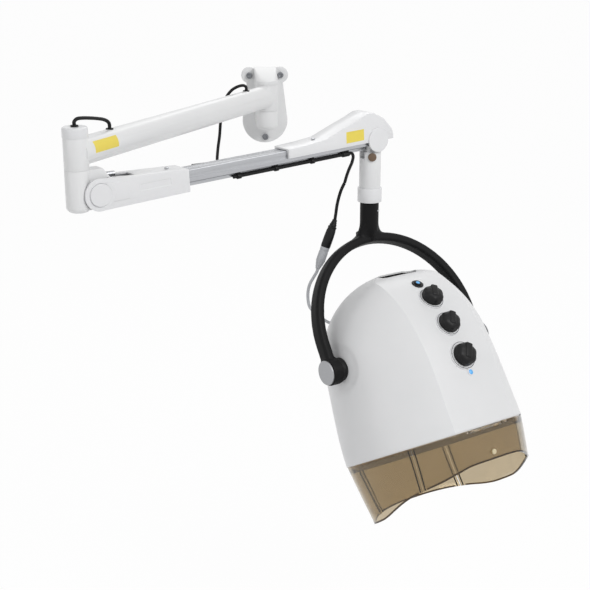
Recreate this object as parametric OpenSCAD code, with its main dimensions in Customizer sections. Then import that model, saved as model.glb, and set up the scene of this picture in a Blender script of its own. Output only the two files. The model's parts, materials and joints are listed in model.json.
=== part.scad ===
// Wall-mounted hood dryer on a folding arm.
// Origin at the centre of the wall plate, on its wall face.
// +X is right as seen from the room, +Y goes into the wall, +Z is up.

/* [Wall bracket] */
// Height of the wall plate
plate_h = 175; // [165:1:195]
// Width of the wall plate across its belly
plate_w = 103; // [98:1:115]
// Thickness of the wall plate
plate_t = 8; // [6:0.5:12]
// Sideways distance of each top screw from the middle
screw_x = 35.5; // [34:0.5:38]
// Height of the two top screws above the middle
screw_top_z = 67; // [62:1:70]
// Depth of the bottom screw below the middle
screw_low_z = 74; // [70:1:78]
// Shank diameter of the wall screws
screw_d = 8; // [6:0.5:9]
// Length of the screw shanks behind the wall face
screw_reach = 40; // [25:1:70]
// Distance of the swivel axis from the wall
pivot_out = 61; // [58:1:75]
// Height of the first arm above the middle of the plate
arm1_z = 26; // [22:1:30]

/* [First arm] */
// Length of the first arm between its two upright axes
arm1_len = 745; // [600:5:900]
// Outer diameter of the first arm
arm1_d = 50; // [46:1:50]
// Wall of the first arm's tube
arm1_wall = 2.5; // [2:0.5:4]
// Heading of the first arm, counted from +X
arm1_yaw = 239.3; // [225:0.1:270]
// Diameter of the post at the elbow
post_d = 44; // [40:1:46]
// Diameter of the upright pivot pins
pivot_d = 18; // [14:1:20]

/* [Second arm] */
// Length of the second arm between its two level pins
arm2_len = 626; // [580:2:700]
// Heading of the second arm, counted from +X
arm2_yaw = 30; // [15:1:34]
// Rise of the second arm above the level
arm2_rise = 2.9; // [0:0.1:10]
// Width of the beam
beam_w = 36; // [34:0.5:37]
// Height of the beam
beam_h = 22; // [20:0.5:24]
// Wall of the beam's sides
beam_side = 3.5; // [3:0.25:3.5]
// Distance from the post axis to the lift pin
elbow_x = 30; // [28:1:32]
// Depth of the lift pin below the first arm's axis
elbow_drop = 74.4; // [72:0.2:78]
// Depth of the parallel link's pins below the lift pins
link_drop = 18; // [17.5:0.5:19]
// Diameter of the lift pins
lift_pin_d = 12; // [10:1:12]

/* [Front tube] */
// Outer diameter of the front tube
tube_d = 44; // [42:1:44]
// Depth of the front tube's lower end below the lift pin
tube_drop = 102; // [90:1:120]
// Height of the collar under the front tube
collar_h = 29; // [24:1:34]
// Diameter of the collar
collar_d = 50; // [48:1:54]
// Diameter of the swivel spigot
spigot_d = 26; // [20:1:28]

/* [Yoke] */
// Diameter of the yoke's stem
stem_d = 39; // [36:1:40]
// Depth of the yoke's crown below the lift pin
crown_drop = 212; // [200:1:230]
// Radius of the yoke's bow at the middle of its bar
bow_r = 193.5; // [192:0.5:200]
// Length of the straight legs under the bow
leg_len = 55; // [50:1:70]
// Width of the bar in the plane of the bow
bar_w = 19; // [16:0.5:19]
// Depth of the bar across the plane of the bow
bar_t = 30; // [26:1:34]
// Forward lean of the yoke's plane
yoke_lean = 31.3; // [25:0.1:35]
// Diameter of the two hub barrels
hub_d = 54; // [50:1:58]
// Length of each hub barrel
hub_len = 25; // [22:1:26]
// Diameter of the tilt pins
tilt_pin_d = 16; // [12:1:20]

/* [Hood] */
// Backward tilt of the hood
hood_tilt = 30; // [15:1:40]
// Half width of the hood at the tilt axis
hood_half_w = 176; // [170:0.5:176]
// Half width of the hood at its rim
rim_half_w = 191; // [186:0.5:196]
// Reach of the hood's front from the tilt axis
hood_front = 166; // [160:1:170]
// Reach of the hood's back from the tilt axis
hood_rear = 155; // [150:1:160]
// Height of the hood's top above the tilt axis
hood_top = 165; // [160:1:170]
// Depth of the hood's rim below the tilt axis
rim_drop = 188; // [184:1:192]
// Wall of the hood's shell
shell_t = 3; // [2.5:0.1:3.5]
// Half width of the flat strip down the front
strip_half_w = 78; // [70:1:84]
// Depth of the visor panels below the rim
visor_drop = 123; // [100:1:130]
// Wall of the visor panels
visor_t = 3; // [2.5:0.1:3]

/* [Controls] */
// Diameter of the two upper knobs
knob_d = 43; // [38:1:46]
// Diameter of the lowest knob
knob_low_d = 47; // [42:1:50]
// Height of the knobs
knob_h = 22; // [18:0.5:26]
// Diameter of the knob shafts
shaft_d = 6; // [5:0.5:7]
// Diameter of the power button
button_d = 14; // [12:0.5:16]
// Travel of the power button
button_travel = 2; // [1:0.1:2.5]

/* [Cords] */
// Diameter of the black cords
cord_d = 6.5; // [6:0.1:6.5]
// Diameter of the grey cord
grey_cord_d = 6.5; // [6:0.1:6.5]

/* [Hidden] */
$fn = 48;
hull_fn = 32;
over = 1;
slice = 1;
tiny = 0.01;
seam = 0.3;
run_gap = 0.05;
flat_gap = 0.3;
slide_gap = 0.03;
loose_gap = 0.3;

// Wall plate
ear_r = 18;
waist_w = 82;
waist_z = 52;
saddle_z = 77;
screw_neck = 0.3;
screw_head_d = 13.5;
screw_head_h = 6;
hex_w = 7;
hex_deep = 4;
cup_d = 47;
cup_drop = 74;
barrel_down = 31;
barrel_up = 27;
spine_out = 34;
housing_lip = 9;
housing_top = 60;
pin_r = pivot_d / 2;
pin_cup = 30;
pin_cap = 7;

// First arm
bush_t = 3;
bush_h = 14;
tube_end_wall = 6;
post_down = 29.5;
post_up = 27;
cap_d = 45.6;
cap_h = 18.7;
cap_wall = 3;
cap_round = 4;
grommet_r = 7;
grommet_lip = 2.5;
grommet_sink = 4;
grommet_root_x = 100;
grommet_back = 108;
grommet_post_x = arm1_len - grommet_back;

// Elbow
knuckle_under = 31;
knuckle_round = 11;
cheek_in = 7.5;
cheek_out = 14.2;
tongue_r = 16;
link_boss_r = 9;
ear_half = 13.5;
ear_top = 44;
ear_low = 16;
ear_flat_x = 14;
ear_tip_x = 28;
ear_tip_z = 26;
disc_r = 29;
disc_gap = 0.5;
side_gap = 0.3;
anchor_d = 9;
anchor_x = 20;
anchor_len = 22;
anchor_z = 30;
link_pin_d = 8;
washer_r = 11.5;
washer_h = 3;
spindle_sink = 24;

// Beam and covers
beam_start = 45;
beam_top_start = 58;
beam_plate = 3;
groove_h = 6;
groove_deep = 1.2;
spring_d = 15.4;
spring_x = 120;
spring_len = 260;
cover_in = 22.3;
cover_out = 25;
cover_t = cover_out - cover_in;
collar_x = 182;
collar_t = 8;
collar_top = 15;
collar_low = 27;
cover_hump_x = 60;
cover_hump_z = 23;
rear_open_x = 22;
slot_end_x = 76;
disc_lift = 2;
disc_cap_r = 20.5;
disc_cap_out = 30;
disc_groove = 1;
front_back = 220;
front_x = arm2_len - front_back;
front_reach = 40;
front_low = 3;
front_rise = 56;
front_cap_r = 25;
front_cap_out = 28;
front_lip = 6;
cover_fit = 0.2;
front_cover_shares = [[0, 0.27], [0.17, 0.3], [0.34, 0.36], [0.5, 0.61], [0.66, 0.84],
    [0.75, 1], [0.81, 1], [0.91, 0.73], [0.985, 0.32], [1, 0.1]];
screw_bump_r = 4;
screw_bump_h = 3;
elbow_screw_x = 150;
front_screw_back = 144;
front_screw_x = arm2_len - front_screw_back;
cable_y = 11.5;
cable_z = 20;
cable_back = 341;
cable_x = arm2_len - cable_back;
gland_back = 66;
gland_x = arm2_len - gland_back;
gland_r = 5;
gland_len = 16;
clip_t = 2;
clip_w = 8;
clip_count = 3;

// Link
link_half_w = 6;
link_half_h = 3.2;
link_eye_r = 7.5;
front_pin_d = 10;

// Front tube
fork_top_r = 16;
fork_start = 26;
slot_low = 40;
bore_top = 66;
stop_r = 8.5;
stop_len = 5;
stop_z = 35.5;
stop_turn = 28;

// Yoke
bar_round = 6;
fillet_r = 16;
knee_up = 24;
knee_in = 0.4;
cap_disc_d = 49;
cap_disc_h = 3;
stem_screw_z = 150;
stem_screw_r = 3.5;
stem_screw_h = 2;
stem_screw_turn = 33;

// Hood
pad_r = 24;
pad_in = 6;
pad_out = 4.2;
hub_proud = 2.5;
widest_back = 8;
strip_bow = 5;
front_low_q = 110;
front_exp_share = 2.15;
front_flare = 4;
rear_low_q = 100;
rear_exp_share = 2;
rear_tuck = 5;
corner_exp_share = 2.3;
strip_share = 0.9;
crest_share = 0.62;
cheek_share = 0.97;
bowl_t = 2;
bowl_gap = 14;
bowl_top = 40;
ring_t = 8;
ring_low = 14;
ring_up = 8;
side_taper_share = 0.08;
front_taper_share = 0.26;
rear_taper_share = 0.03;
taper_exp_share = 1.3;
panel_gap = 0.4;
visor_seat = 0.45;
visor_edge_shares = [[-1, 0.8], [-0.88, 0.83], [-0.48, 1], [0, 0.96], [0.47, 0.73], [0.88, 0.63],
    [0.99, 0.54]];
front_seam_share = 0.36;
rear_seam_share = 0.84;
hinge_in = 2;
hinge_low = 3.2;
hinge_rod_r = 1.2;
hinge_half = 50;
knuckle_r = 3;
lug_r = 2.4;
lug_foot = 5;
hinge_notch = 6;
notch_side = 2;
notch_reach = 20;
visor_top_gap = 2;
grip_low = 52;
grip_r = 5;
grip_h = 3;

// Controls
dial_q = [80, 21, -47];
dial_r = [26, 26, 29];
dial_sink = 7;
dial_lift = 2.5;
button_q = 118;
bezel_r = 12;
bezel_lift = 2;
button_lift = 2.5;
lamp_q = -82;
lamp_h = 4;
lamp_r = 5;
lamp_sink = 4;
lamp_lift = 1;
knob_seat = 0.4;
shaft_in = 12;
wing_share = 0.2;
skirt_share = 0.35;
crown_share = 0.6;
core_share = 0.72;
vent_half_w = 50;
vent_half_p = 17;
vent_p = 42;
vent_t = 4;
vent_tilt = 14;
vent_z = 148;
vent_slots = 7;
vent_slot_w = 4;
vent_sink = 12;
vent_cut = 36;
vent_pitch_share = 2.5;
vent_slot_share = 0.7;
inlet_side_share = 0.426;
inlet_h = hood_half_w * inlet_side_share;
inlet_q = 105;
inlet_r = 8;
inlet_len = 14;
inlet_share = 0.9;

// Inside the hood
fan_q = 92;
fan_r = 58;
fan_h = 22;
fan_hub_r = 12;
fan_blades = 9;
blade_t = 1.5;
fan_shaft_r = 3;
motor_r = 26;
motor_h = 30;
motor_gap = 1;
heater_r = 50;
heater_tube_r = 4;
heater_q = 72;
post_r = 3;
board_t = 1.6;
board_half_w = 30;
board_in = 85;
board_out = 125;

// Cords
hank_turn = 150.7;
hank_run = 95;
hank_r = 27;
hank_step = 7.2;
hank_waist = 8;
hank_turns = 4;
ring_count = 24;
lift_share = 3;
plug_w = 36;
plug_h = 22;
plug_len = 38;
plug_pin_d = 4.8;
plug_pin_len = 19;
plug_pin_x = 9.5;
relief_len = 18;
relief_r = 5;
tie_t = 1.6;
tie_w = 10;
tie_gap = 1.3;
loop_route = [[0, 0, 48], [0, 0, 54], [-8, 1, 58], [-24, 2, 57], [-44, 2, 54], [-66, 2, 50], [-88, 1, 45],
    [-103, 0, 39], [-108, 0, 33], [-108, 0, 26]];
mains_route = [[100, 0, 26], [100, 0, 33], [104, -5, 37], [112, -14, 35], [121, -24, 28], [130, -32, 15],
    [137, -37, 0], [142, -39, -18], [146, -40, -42], [149, -41, -68], [155, -42, -92], [164, -40, -116],
    [172, -35, -134], [173, -30, -146], [166, -27, -150], [157, -22, -150], [150, -18, -150]];
upper_route = [[560, -11.5, -20], [567, -11.5, -20], [571, -12, -27], [567, -12.5, -39], [559, -13, -51],
    [553, -12, -64], [549, -10, -78]];
lower_route = [[-73.3, -9.5, -83.1], [-75, -7, -89], [-77, -3, -99], [-78, 3, -115], [-77, 10, -133],
    [-74, 17, -150], [-73, 20, -157], [-73, 21, -164]];
grey_route = [[-112, 28, -264], [-114, 28.5, -271], [-121, 31, -283], [-128, 34, -297], [-131, 36, -317],
    [-127, 38, -341], [-117, 40, -356], [-105, 40, -368], [-93, 37, -378], [-83, 31, -386], [-77, 22, -389],
    [-75, 13.5, -386], [-75, 7, -382]];

// Shares of one smooth step from 0 to 1
function ease(t) = t * t * (3 - 2 * t);
function clamp01(t) = max(0, min(1, t));
function power(b, e) = b <= 0 ? 0 : pow(b, e);

// Catmull-Rom curve through the points of a route
function spline(p, n) = [for (i = [0:len(p) - 2], k = [0:n - 1])
        let (a = p[max(i - 1, 0)], b = p[i], c = p[i + 1], d = p[min(i + 2, len(p) - 1)], t = k / n)
        ((2 * b) + (c - a) * t + (2 * a - 5 * b + 4 * c - d) * t * t
            + (3 * b - a - 3 * c + d) * t * t * t) / 2, p[len(p) - 1]];
function unit(v) = v / norm(v);
function heading(p, i) = unit(p[min(i + 1, len(p) - 1)] - p[max(i - 1, 0)]);
function side_of(t, old) = unit(old - t * (old * t));
function frames(p, old, i = 0) = i >= len(p) ? []
    : let (s = side_of(heading(p, i), old)) concat([s], frames(p, s, i + 1));

// Round tube along a list of ring centres
module tube_along(p, r, sides, start) {
    s = frames(p, start);
    n = len(p);
    rings = [for (i = [0:n - 1], k = [0:sides - 1])
        let (w = cross(heading(p, i), s[i]), a = 360 * k / sides) p[i] + r * (cos(a) * s[i] + sin(a) * w)];
    walls = [for (i = [0:n - 2], k = [0:sides - 1], h = [0, 1])
        let (k2 = (k + 1) % sides, a = i * sides + k, b = i * sides + k2)
        h == 0 ? [a, a + sides, b + sides] : [a, b + sides, b]];
    ends = [[for (k = [0:sides - 1]) k], [for (k = [sides - 1:-1:0]) (n - 1) * sides + k]];
    polyhedron(points = rings, faces = concat(walls, ends), convexity = 8);
}

// Frames of the moving bodies, at rest
module at_arm1() { translate([0, -pivot_out, arm1_z]) rotate([0, 0, arm1_yaw]) children(); }
module at_elbow() { at_arm1() translate([arm1_len, 0, 0]) rotate([0, 0, arm2_yaw - arm1_yaw]) children(); }
module at_lift() { at_elbow() translate([elbow_x, 0, -elbow_drop]) children(); }
module at_arm2() { at_lift() rotate([0, -arm2_rise, 0]) children(); }
module at_link() { at_lift() translate([0, 0, -link_drop]) rotate([0, -arm2_rise, 0]) children(); }
module at_front() { at_arm2() translate([arm2_len, 0, 0]) rotate([0, arm2_rise, 0]) children(); }
hub_back = (bow_r + leg_len) * sin(yoke_lean);
hub_drop = crown_drop + (bow_r + leg_len) * cos(yoke_lean);
module at_hub() { at_front() translate([0, -hub_back, -hub_drop]) children(); }
module at_bow() { at_hub() rotate([-yoke_lean, 0, 0]) translate([0, 0, leg_len]) children(); }
module at_hood() { at_hub() rotate([-hood_tilt, 0, 0]) children(); }

// Cylinders along Y and X, and mirrored pairs
module disc_y(r, y0, y1) { translate([0, y1, 0]) rotate([90, 0, 0]) cylinder(r = r, h = y1 - y0); }
module disc_x(r, x0, x1) { translate([x0, 0, 0]) rotate([0, 90, 0]) cylinder(r = r, h = x1 - x0); }
module both_y() { children(); mirror([0, 1, 0]) children(); }
module both_x() { children(); mirror([1, 0, 0]) children(); }
module box(x0, x1, y0, y1, z0, z1) { translate([x0, y0, z0]) cube([x1 - x0, y1 - y0, z1 - z0]); }
module slab_y(y0, y1) { translate([0, y1, 0]) rotate([90, 0, 0]) linear_extrude(y1 - y0) children(); }
module round_rect(w, h, r) {
    square([w - 2 * r, h], center = true);
    square([w, h - 2 * r], center = true);
    for (x = [-1, 1], y = [-1, 1]) translate([x * (w / 2 - r), y * (h / 2 - r)]) circle(r);
}
module round_post(r, z0, z1, c) {
    rotate_extrude() {
        translate([0, z0]) square([r - c, z1 - z0]);
        translate([0, z0 + c]) square([r, z1 - z0 - c]);
        translate([r - c, z0 + c]) circle(c);
    }
}
module pipe(r0, r1, z0, z1) {
    translate([0, 0, z0]) difference() {
        cylinder(r = r1, h = z1 - z0);
        translate([0, 0, -over]) cylinder(r = r0, h = z1 - z0 + 2 * over);
    }
}

// Wall bracket
belly_z = plate_h / 2 - plate_w / 2;
module plate_outline() {
    translate([0, -belly_z]) circle(r = plate_w / 2);
    polygon([[-plate_w / 2, -belly_z], [plate_w / 2, -belly_z], [waist_w / 2, waist_z],
        [screw_x, saddle_z], [-screw_x, saddle_z], [-waist_w / 2, waist_z]]);
    for (x = [-1, 1]) translate([x * screw_x, screw_top_z]) circle(r = ear_r);
}
module screw_places() {
    for (p = [[-screw_x, screw_top_z], [screw_x, screw_top_z], [0, -screw_low_z]])
        translate([p[0], 0, p[1]]) children();
}
module wall_plate() {
    color([0.88, 0.88, 0.89]) difference() {
        union() {
            slab_y(-plate_t, 0) plate_outline();
            translate([0, -pivot_out, 0])
                round_post(cup_d / 2, arm1_z - cup_drop, arm1_z - barrel_down, knuckle_round);
            box(-cup_d / 2, cup_d / 2, -pivot_out, -plate_t,
                arm1_z - cup_drop + knuckle_round, arm1_z - barrel_down);
            box(-cup_d / 2, cup_d / 2, -spine_out, -plate_t,
                arm1_z - barrel_down - over, arm1_z + barrel_up + over);
            translate([0, -pivot_out, arm1_z + barrel_up]) hull() {
                cylinder(r = arm1_d / 2, h = housing_lip, $fn = hull_fn);
                translate([-arm1_d / 2, pivot_out - plate_t - slice, 0])
                    cube([arm1_d, slice, housing_top - barrel_up]);
            }
        }
        screw_places() disc_y(screw_d / 2 + screw_neck + flat_gap, -plate_t - over, over);
        translate([0, -pivot_out, arm1_z - barrel_down - pin_cup])
            cylinder(r = pin_r, h = barrel_down + pin_cup + barrel_up + pin_cap);
    }
}
module wall_screws() {
    color([0.7, 0.71, 0.73]) screw_places() difference() {
        union() {
            disc_y(screw_d / 2, -over, screw_reach);
            disc_y(screw_d / 2 + screw_neck, -plate_t - over, 0);
            disc_y(screw_head_d / 2, -plate_t - screw_head_h, -plate_t);
        }
        translate([0, -plate_t - screw_head_h + hex_deep, 0]) rotate([90, 0, 0])
            cylinder(d = hex_w, h = hex_deep + over, $fn = 6);
    }
}
module wall_pivot_pin() {
    color([0.6, 0.61, 0.63]) translate([0, -pivot_out, arm1_z - barrel_down - pin_cup])
        cylinder(r = pin_r, h = barrel_down + pin_cup + barrel_up + pin_cap);
}

// First arm
bush_r = pin_r + bush_t;
module wall_bushes() {
    color([0.75, 0.6, 0.35]) at_arm1() {
        pipe(pin_r + run_gap, bush_r, -barrel_down + seam, -barrel_down + seam + bush_h);
        pipe(pin_r + run_gap, bush_r, barrel_up - seam - bush_h, barrel_up - seam);
    }
}
module first_arm_tube() {
    color([0.88, 0.88, 0.89]) at_arm1() difference() {
        union() {
            translate([0, 0, -barrel_down + seam])
                cylinder(r = arm1_d / 2, h = barrel_down + barrel_up - 2 * seam);
            translate([arm1_len, 0, -post_down]) cylinder(r = post_d / 2, h = post_down + post_up);
            disc_x(arm1_d / 2, 0, arm1_len);
        }
        disc_x(arm1_d / 2 - arm1_wall, arm1_d / 2 + tube_end_wall, arm1_len - post_d / 2 - tube_end_wall);
        translate([0, 0, -barrel_down - over]) cylinder(r = bush_r, h = barrel_down + barrel_up + 2 * over);
        translate([arm1_len, 0, -post_down - over]) cylinder(r = bush_r, h = post_down + post_up + 2 * over);
        for (x = [grommet_root_x, grommet_post_x])
            translate([x, 0, 0]) cylinder(r = grommet_r - grommet_lip, h = arm1_d);
    }
}
module post_cap() {
    color([0.88, 0.88, 0.89]) at_arm1() translate([arm1_len, 0, post_up + cap_h]) mirror([0, 0, 1])
        difference() {
            round_post(cap_d / 2, 0, cap_h, cap_round);
            translate([0, 0, cap_wall]) cylinder(r = cap_d / 2 - cap_wall, h = cap_h);
            translate([0, 0, -over]) cylinder(r = grommet_r - grommet_lip, h = cap_h);
        }
}
module grommet() {
    cylinder(r = grommet_r, h = grommet_lip);
    translate([0, 0, -grommet_sink]) cylinder(r = grommet_r - grommet_lip, h = grommet_sink + grommet_lip);
}
module cord_grommets() {
    color([0.12, 0.12, 0.13]) at_arm1() {
        for (x = [grommet_root_x, grommet_post_x])
            translate([x, 0, arm1_d / 2 - grommet_lip / 2]) grommet();
        translate([arm1_len, 0, post_up + cap_h]) grommet();
    }
}
module loop_cord() {
    color([0.1, 0.1, 0.11]) at_arm1() translate([arm1_len, 0, 0])
        tube_along(spline(loop_route, 3), cord_d / 2, 10, [0, 1, 0]);
}
module mains_lead() {
    color([0.1, 0.1, 0.11]) at_arm1()
        tube_along(spline(mains_route, 2), cord_d / 2, 10, [0, 1, 0]);
}

// Mains lead tied in a hank: two layers, spiral in below and out above
function turn_r(n) = hank_r - hank_step * (hank_turns / 2 - abs(n - hank_turns / 2));
function pinch(x) = hank_waist * (1 + cos(min(180, abs(x) * 360 / hank_run))) / 2;
function stadium(k, r) = let (l = hank_run, q = ring_count / 3, s = ring_count / 6)
    k < q ? [l / 2 + r * cos(180 * k / q - 90), r * sin(180 * k / q - 90)]
    : k < q + s ? let (x = l / 2 - l * (k - q) / s) [x, r - pinch(x)]
    : k < 2 * q + s ? [-l / 2 + r * cos(180 * (k - q - s) / q + 90), r * sin(180 * (k - q - s) / q + 90)]
    : let (x = -l / 2 + l * (k - 2 * q - s) / s) [x, pinch(x) - r];
hank_first = -ring_count / 6;
hank_last = hank_turns * ring_count - ring_count / 2;
function hank_point(i)
    = let (n = i / ring_count, r = turn_r(n), k = i - ring_count * floor(n), p = stadium(k, r),
    z = hank_step * ease(clamp01((n - hank_turns / 2) * lift_share + 1 / 2))) [p[0], p[1], z];
hank_rings = [for (i = [hank_first:hank_last]) hank_point(i)];
hank_path = concat([hank_rings[0] - [cord_d, 0, 0]], hank_rings,
    [hank_rings[len(hank_rings) - 1] - [cord_d, 0, 0]]);
hank_gap = min([for (i = [0:len(hank_path) - 1], j = [0:len(hank_path) - 1])
    if (j > i + ring_count / 4) norm(hank_path[i] - hank_path[j])]) - cord_d;
echo(hank_gap = hank_gap);
module at_hank() {
    at_arm1() translate(mains_route[len(mains_route) - 1]) rotate([0, 0, hank_turn])
        translate(-hank_path[0]) children();
}
module mains_hank() {
    color([0.1, 0.1, 0.11]) at_hank() tube_along(hank_path, cord_d / 2, 6, [0, 0, 1]);
}
module hank_tie() {
    w = 2 * (hank_r - hank_waist + cord_d / 2 + tie_gap);
    h = hank_step + cord_d + 2 * tie_gap;
    color([0.1, 0.1, 0.11]) at_hank() translate([-tie_w / 2, 0, hank_step / 2]) rotate([90, 0, 90])
        linear_extrude(tie_w) difference() {
            round_rect(w + 2 * tie_t, h + 2 * tie_t, tie_t * 2);
            round_rect(w, h, tie_t);
        }
}
hank_end = hank_path[len(hank_path) - 1];
module mains_plug() {
    color([0.1, 0.1, 0.11]) at_hank() translate(hank_end) mirror([1, 0, 0]) {
        disc_x(relief_r, 0, relief_len + over);
        translate([relief_len, 0, 0]) rotate([90, 0, 90]) linear_extrude(plug_len)
            round_rect(plug_w, plug_h, plug_h / 3);
        for (y = [-1, 1]) translate([0, y * plug_pin_x, 0])
            disc_x(plug_pin_d / 2, relief_len + plug_len - over, relief_len + plug_len + plug_pin_len);
    }
}

// Elbow
module elbow_knuckle() {
    top = elbow_drop - post_down - seam;
    color([0.88, 0.88, 0.89]) at_lift() difference() {
        union() {
            difference() {
                translate([-elbow_x, 0, 0]) round_post(post_d / 2, -knuckle_under, top, knuckle_round);
                both_y() disc_y(disc_r + disc_gap, cheek_out + side_gap / 2, post_d);
                disc_y(link_boss_r + disc_gap, -cheek_in, cheek_in);
            }
            both_y() slab_y(cheek_in, cheek_out) {
                circle(tongue_r);
                translate([0, -link_drop]) circle(link_boss_r);
                translate([-link_boss_r, -link_drop]) square([2 * link_boss_r, link_drop]);
                translate([-elbow_x, -link_drop - link_boss_r])
                    square([elbow_x, link_drop + link_boss_r + tongue_r]);
            }
            slab_y(-ear_half, ear_half)
                polygon([[-elbow_x, ear_low], [-elbow_x, ear_top], [ear_flat_x, ear_top],
                [ear_tip_x, ear_tip_z], [ear_tip_x, ear_low]]);
        }
        disc_y(lift_pin_d / 2 + run_gap, -post_d, post_d);
        translate([0, 0, -link_drop]) {
            disc_y(link_pin_d / 2, -post_d, post_d);
            disc_y(link_boss_r + disc_gap, -cheek_in, cheek_in);
        }
        translate([0, 0, anchor_z]) disc_x(anchor_d / 2, anchor_x, anchor_x + anchor_len);
        translate([-elbow_x, 0, top - spindle_sink]) cylinder(r = pin_r, h = spindle_sink + over);
    }
}
module elbow_spindle() {
    color([0.6, 0.61, 0.63]) at_elbow() {
        translate([0, 0, -post_down - seam - spindle_sink])
            cylinder(r = pin_r, h = spindle_sink + seam + post_down + post_up);
        translate([0, 0, post_up + seam]) cylinder(r = washer_r + bush_t, h = washer_h);
        translate([0, 0, post_up - over]) cylinder(r = pin_r, h = over + washer_h);
    }
}
module elbow_bushes() {
    color([0.75, 0.6, 0.35]) at_arm1() translate([arm1_len, 0, 0]) {
        pipe(pin_r + run_gap, bush_r, -post_down, -post_down + bush_h);
        pipe(pin_r + run_gap, bush_r, post_up - bush_h, post_up);
    }
}
module spring_anchor() {
    color([0.5, 0.51, 0.53]) at_lift() translate([0, 0, anchor_z])
        disc_x(anchor_d / 2, anchor_x, anchor_x + anchor_len);
}
module rear_link_pin() {
    color([0.6, 0.61, 0.63]) at_lift() translate([0, 0, -link_drop])
        disc_y(link_pin_d / 2, -cheek_out, cheek_out);
}

// Second arm
cheek_a = beam_w / 2 - beam_side;
module arm_beam() {
    color([0.8, 0.81, 0.83]) at_arm2() difference() {
        union() {
            box(beam_start, arm2_len - beam_start, -beam_w / 2, beam_w / 2, -beam_h / 2, beam_h / 2);
            both_y() slab_y(cheek_a, beam_w / 2) {
                circle(tongue_r);
                translate([arm2_len, 0]) circle(fork_top_r);
                translate([0, -beam_h / 2]) square([arm2_len, beam_h]);
            }
        }
        box(beam_start - over, arm2_len - beam_start + over, -cheek_a, cheek_a,
            beam_plate - beam_h / 2, beam_h / 2 - beam_plate);
        box(beam_start - over, beam_top_start, -cheek_a, cheek_a, 0, beam_h / 2 + over);
        both_y() box(beam_start, arm2_len - beam_start, beam_w / 2 - groove_deep, beam_w,
            -groove_h / 2, groove_h / 2);
        for (x = [0, arm2_len]) translate([x, 0, 0]) disc_y(lift_pin_d / 2, -beam_w, beam_w);
    }
}
module arm_pins() {
    color([0.6, 0.61, 0.63]) at_arm2() for (x = [0, arm2_len])
        translate([x, 0, 0]) disc_y(lift_pin_d / 2, -cover_in, cover_in);
}
module elbow_side() {
    circle(disc_r);
    polygon([[0, -disc_r], [collar_x, -collar_low], [collar_x, collar_top],
        [cover_hump_x, cover_hump_z], [0, disc_r]]);
}
module elbow_cover() {
    color([0.88, 0.88, 0.89]) at_arm2() difference() {
        union() {
            slab_y(-cover_out, cover_out) elbow_side();
            both_y() disc_y(disc_r, cover_in, cover_out + disc_lift);
        }
        slab_y(-cover_in, cover_in) {
            circle(disc_r - cover_t);
            polygon([[0, cover_t - disc_r], [collar_x - collar_t, cover_t - collar_low],
                [collar_x - collar_t, collar_top - cover_t], [cover_hump_x, cover_hump_z - cover_t],
                [0, disc_r - cover_t]]);
        }
        box(-disc_r - over, rear_open_x, -cover_in, cover_in, -disc_r - over, disc_r + over);
        box(rear_open_x - over, slot_end_x, -cheek_out, cheek_out, 0, disc_r + over);
        box(collar_x - collar_t - over, collar_x + over, -beam_w / 2 - cover_fit, beam_w / 2 + cover_fit,
            -beam_h / 2 - cover_fit, beam_h / 2 + cover_fit);
        box(collar_x - collar_t - over, collar_x + over, -link_half_w - over, link_half_w + over,
            -collar_low + cover_t, 0);
        both_y() translate([0, cover_out + disc_lift - disc_groove, 0])
            rotate([-90, 0, 0]) pipe(disc_cap_r, disc_cap_r + disc_groove, 0, disc_groove + over);
    }
}
module front_side() {
    l = arm2_len + front_reach - front_x;
    polygon(concat([[front_x, -front_low]],
        [for (s = front_cover_shares) [front_x + s[0] * l, s[1] * front_rise]],
        [[front_x + l, -front_low]]));
}
module front_cover() {
    color([0.88, 0.88, 0.89]) at_arm2() difference() {
        slab_y(-cover_out, cover_out) front_side();
        slab_y(-cover_in, cover_in) intersection() {
            offset(delta = -cover_t) front_side();
            translate([front_x + front_lip, -front_low]) square([arm2_len, front_rise]);
        }
        box(front_x + front_lip, arm2_len + front_reach - cover_t, -cover_in, cover_in,
            -front_low - over, beam_plate);
        box(front_x - over, front_x + front_lip + over, -beam_w / 2 - cover_fit, beam_w / 2 + cover_fit,
            -front_low - over, beam_h / 2 + cover_fit);
    }
}
module pivot_cap(r, y0, y1, c) {
    rotate([-90, 0, 0]) translate([0, 0, y1]) mirror([0, 0, 1]) round_post(r, 0, y1 - y0, c);
}
module pivot_caps() {
    color([0.88, 0.88, 0.89]) at_arm2() {
        both_y() pivot_cap(disc_cap_r, cover_out + disc_lift, disc_cap_out, screw_bump_h / 2);
        translate([arm2_len, 0, 0]) both_y()
            pivot_cap(front_cap_r, cover_out, front_cap_out, screw_bump_h / 2);
    }
}
function front_top(x) = front_rise * lookup((x - front_x) / (arm2_len + front_reach - front_x),
    front_cover_shares);
function elbow_under(x) = cover_hump_z - cover_t
    - (cover_hump_z - collar_top) * (x - cover_hump_x) / (collar_x - collar_t - cover_hump_x);
function elbow_top(x) = cover_hump_z - (cover_hump_z - collar_top) * (x - cover_hump_x)
    / (collar_x - cover_hump_x);
module cover_screws() {
    color([0.7, 0.71, 0.73]) at_arm2() {
        translate([elbow_screw_x, 0, beam_h / 2])
            cylinder(r = screw_bump_r, h = elbow_under(elbow_screw_x + screw_bump_r) - seam - beam_h / 2);
        translate([elbow_screw_x, 0, elbow_top(elbow_screw_x) + seam])
            cylinder(r = screw_bump_r, h = screw_bump_h);
        translate([front_screw_x, 0, front_top(front_screw_x) + seam])
            cylinder(r = screw_bump_r, h = screw_bump_h);
    }
}
module balance_spring() {
    color([0.5, 0.51, 0.53]) at_arm2() disc_x(spring_d / 2, spring_x, spring_x + spring_len);
}
module arm_cable() {
    color([0.1, 0.1, 0.11]) at_arm2() translate([0, -cable_y, -cable_z])
        disc_x(cord_d / 2, cable_x, gland_x - gland_len);
}
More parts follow.
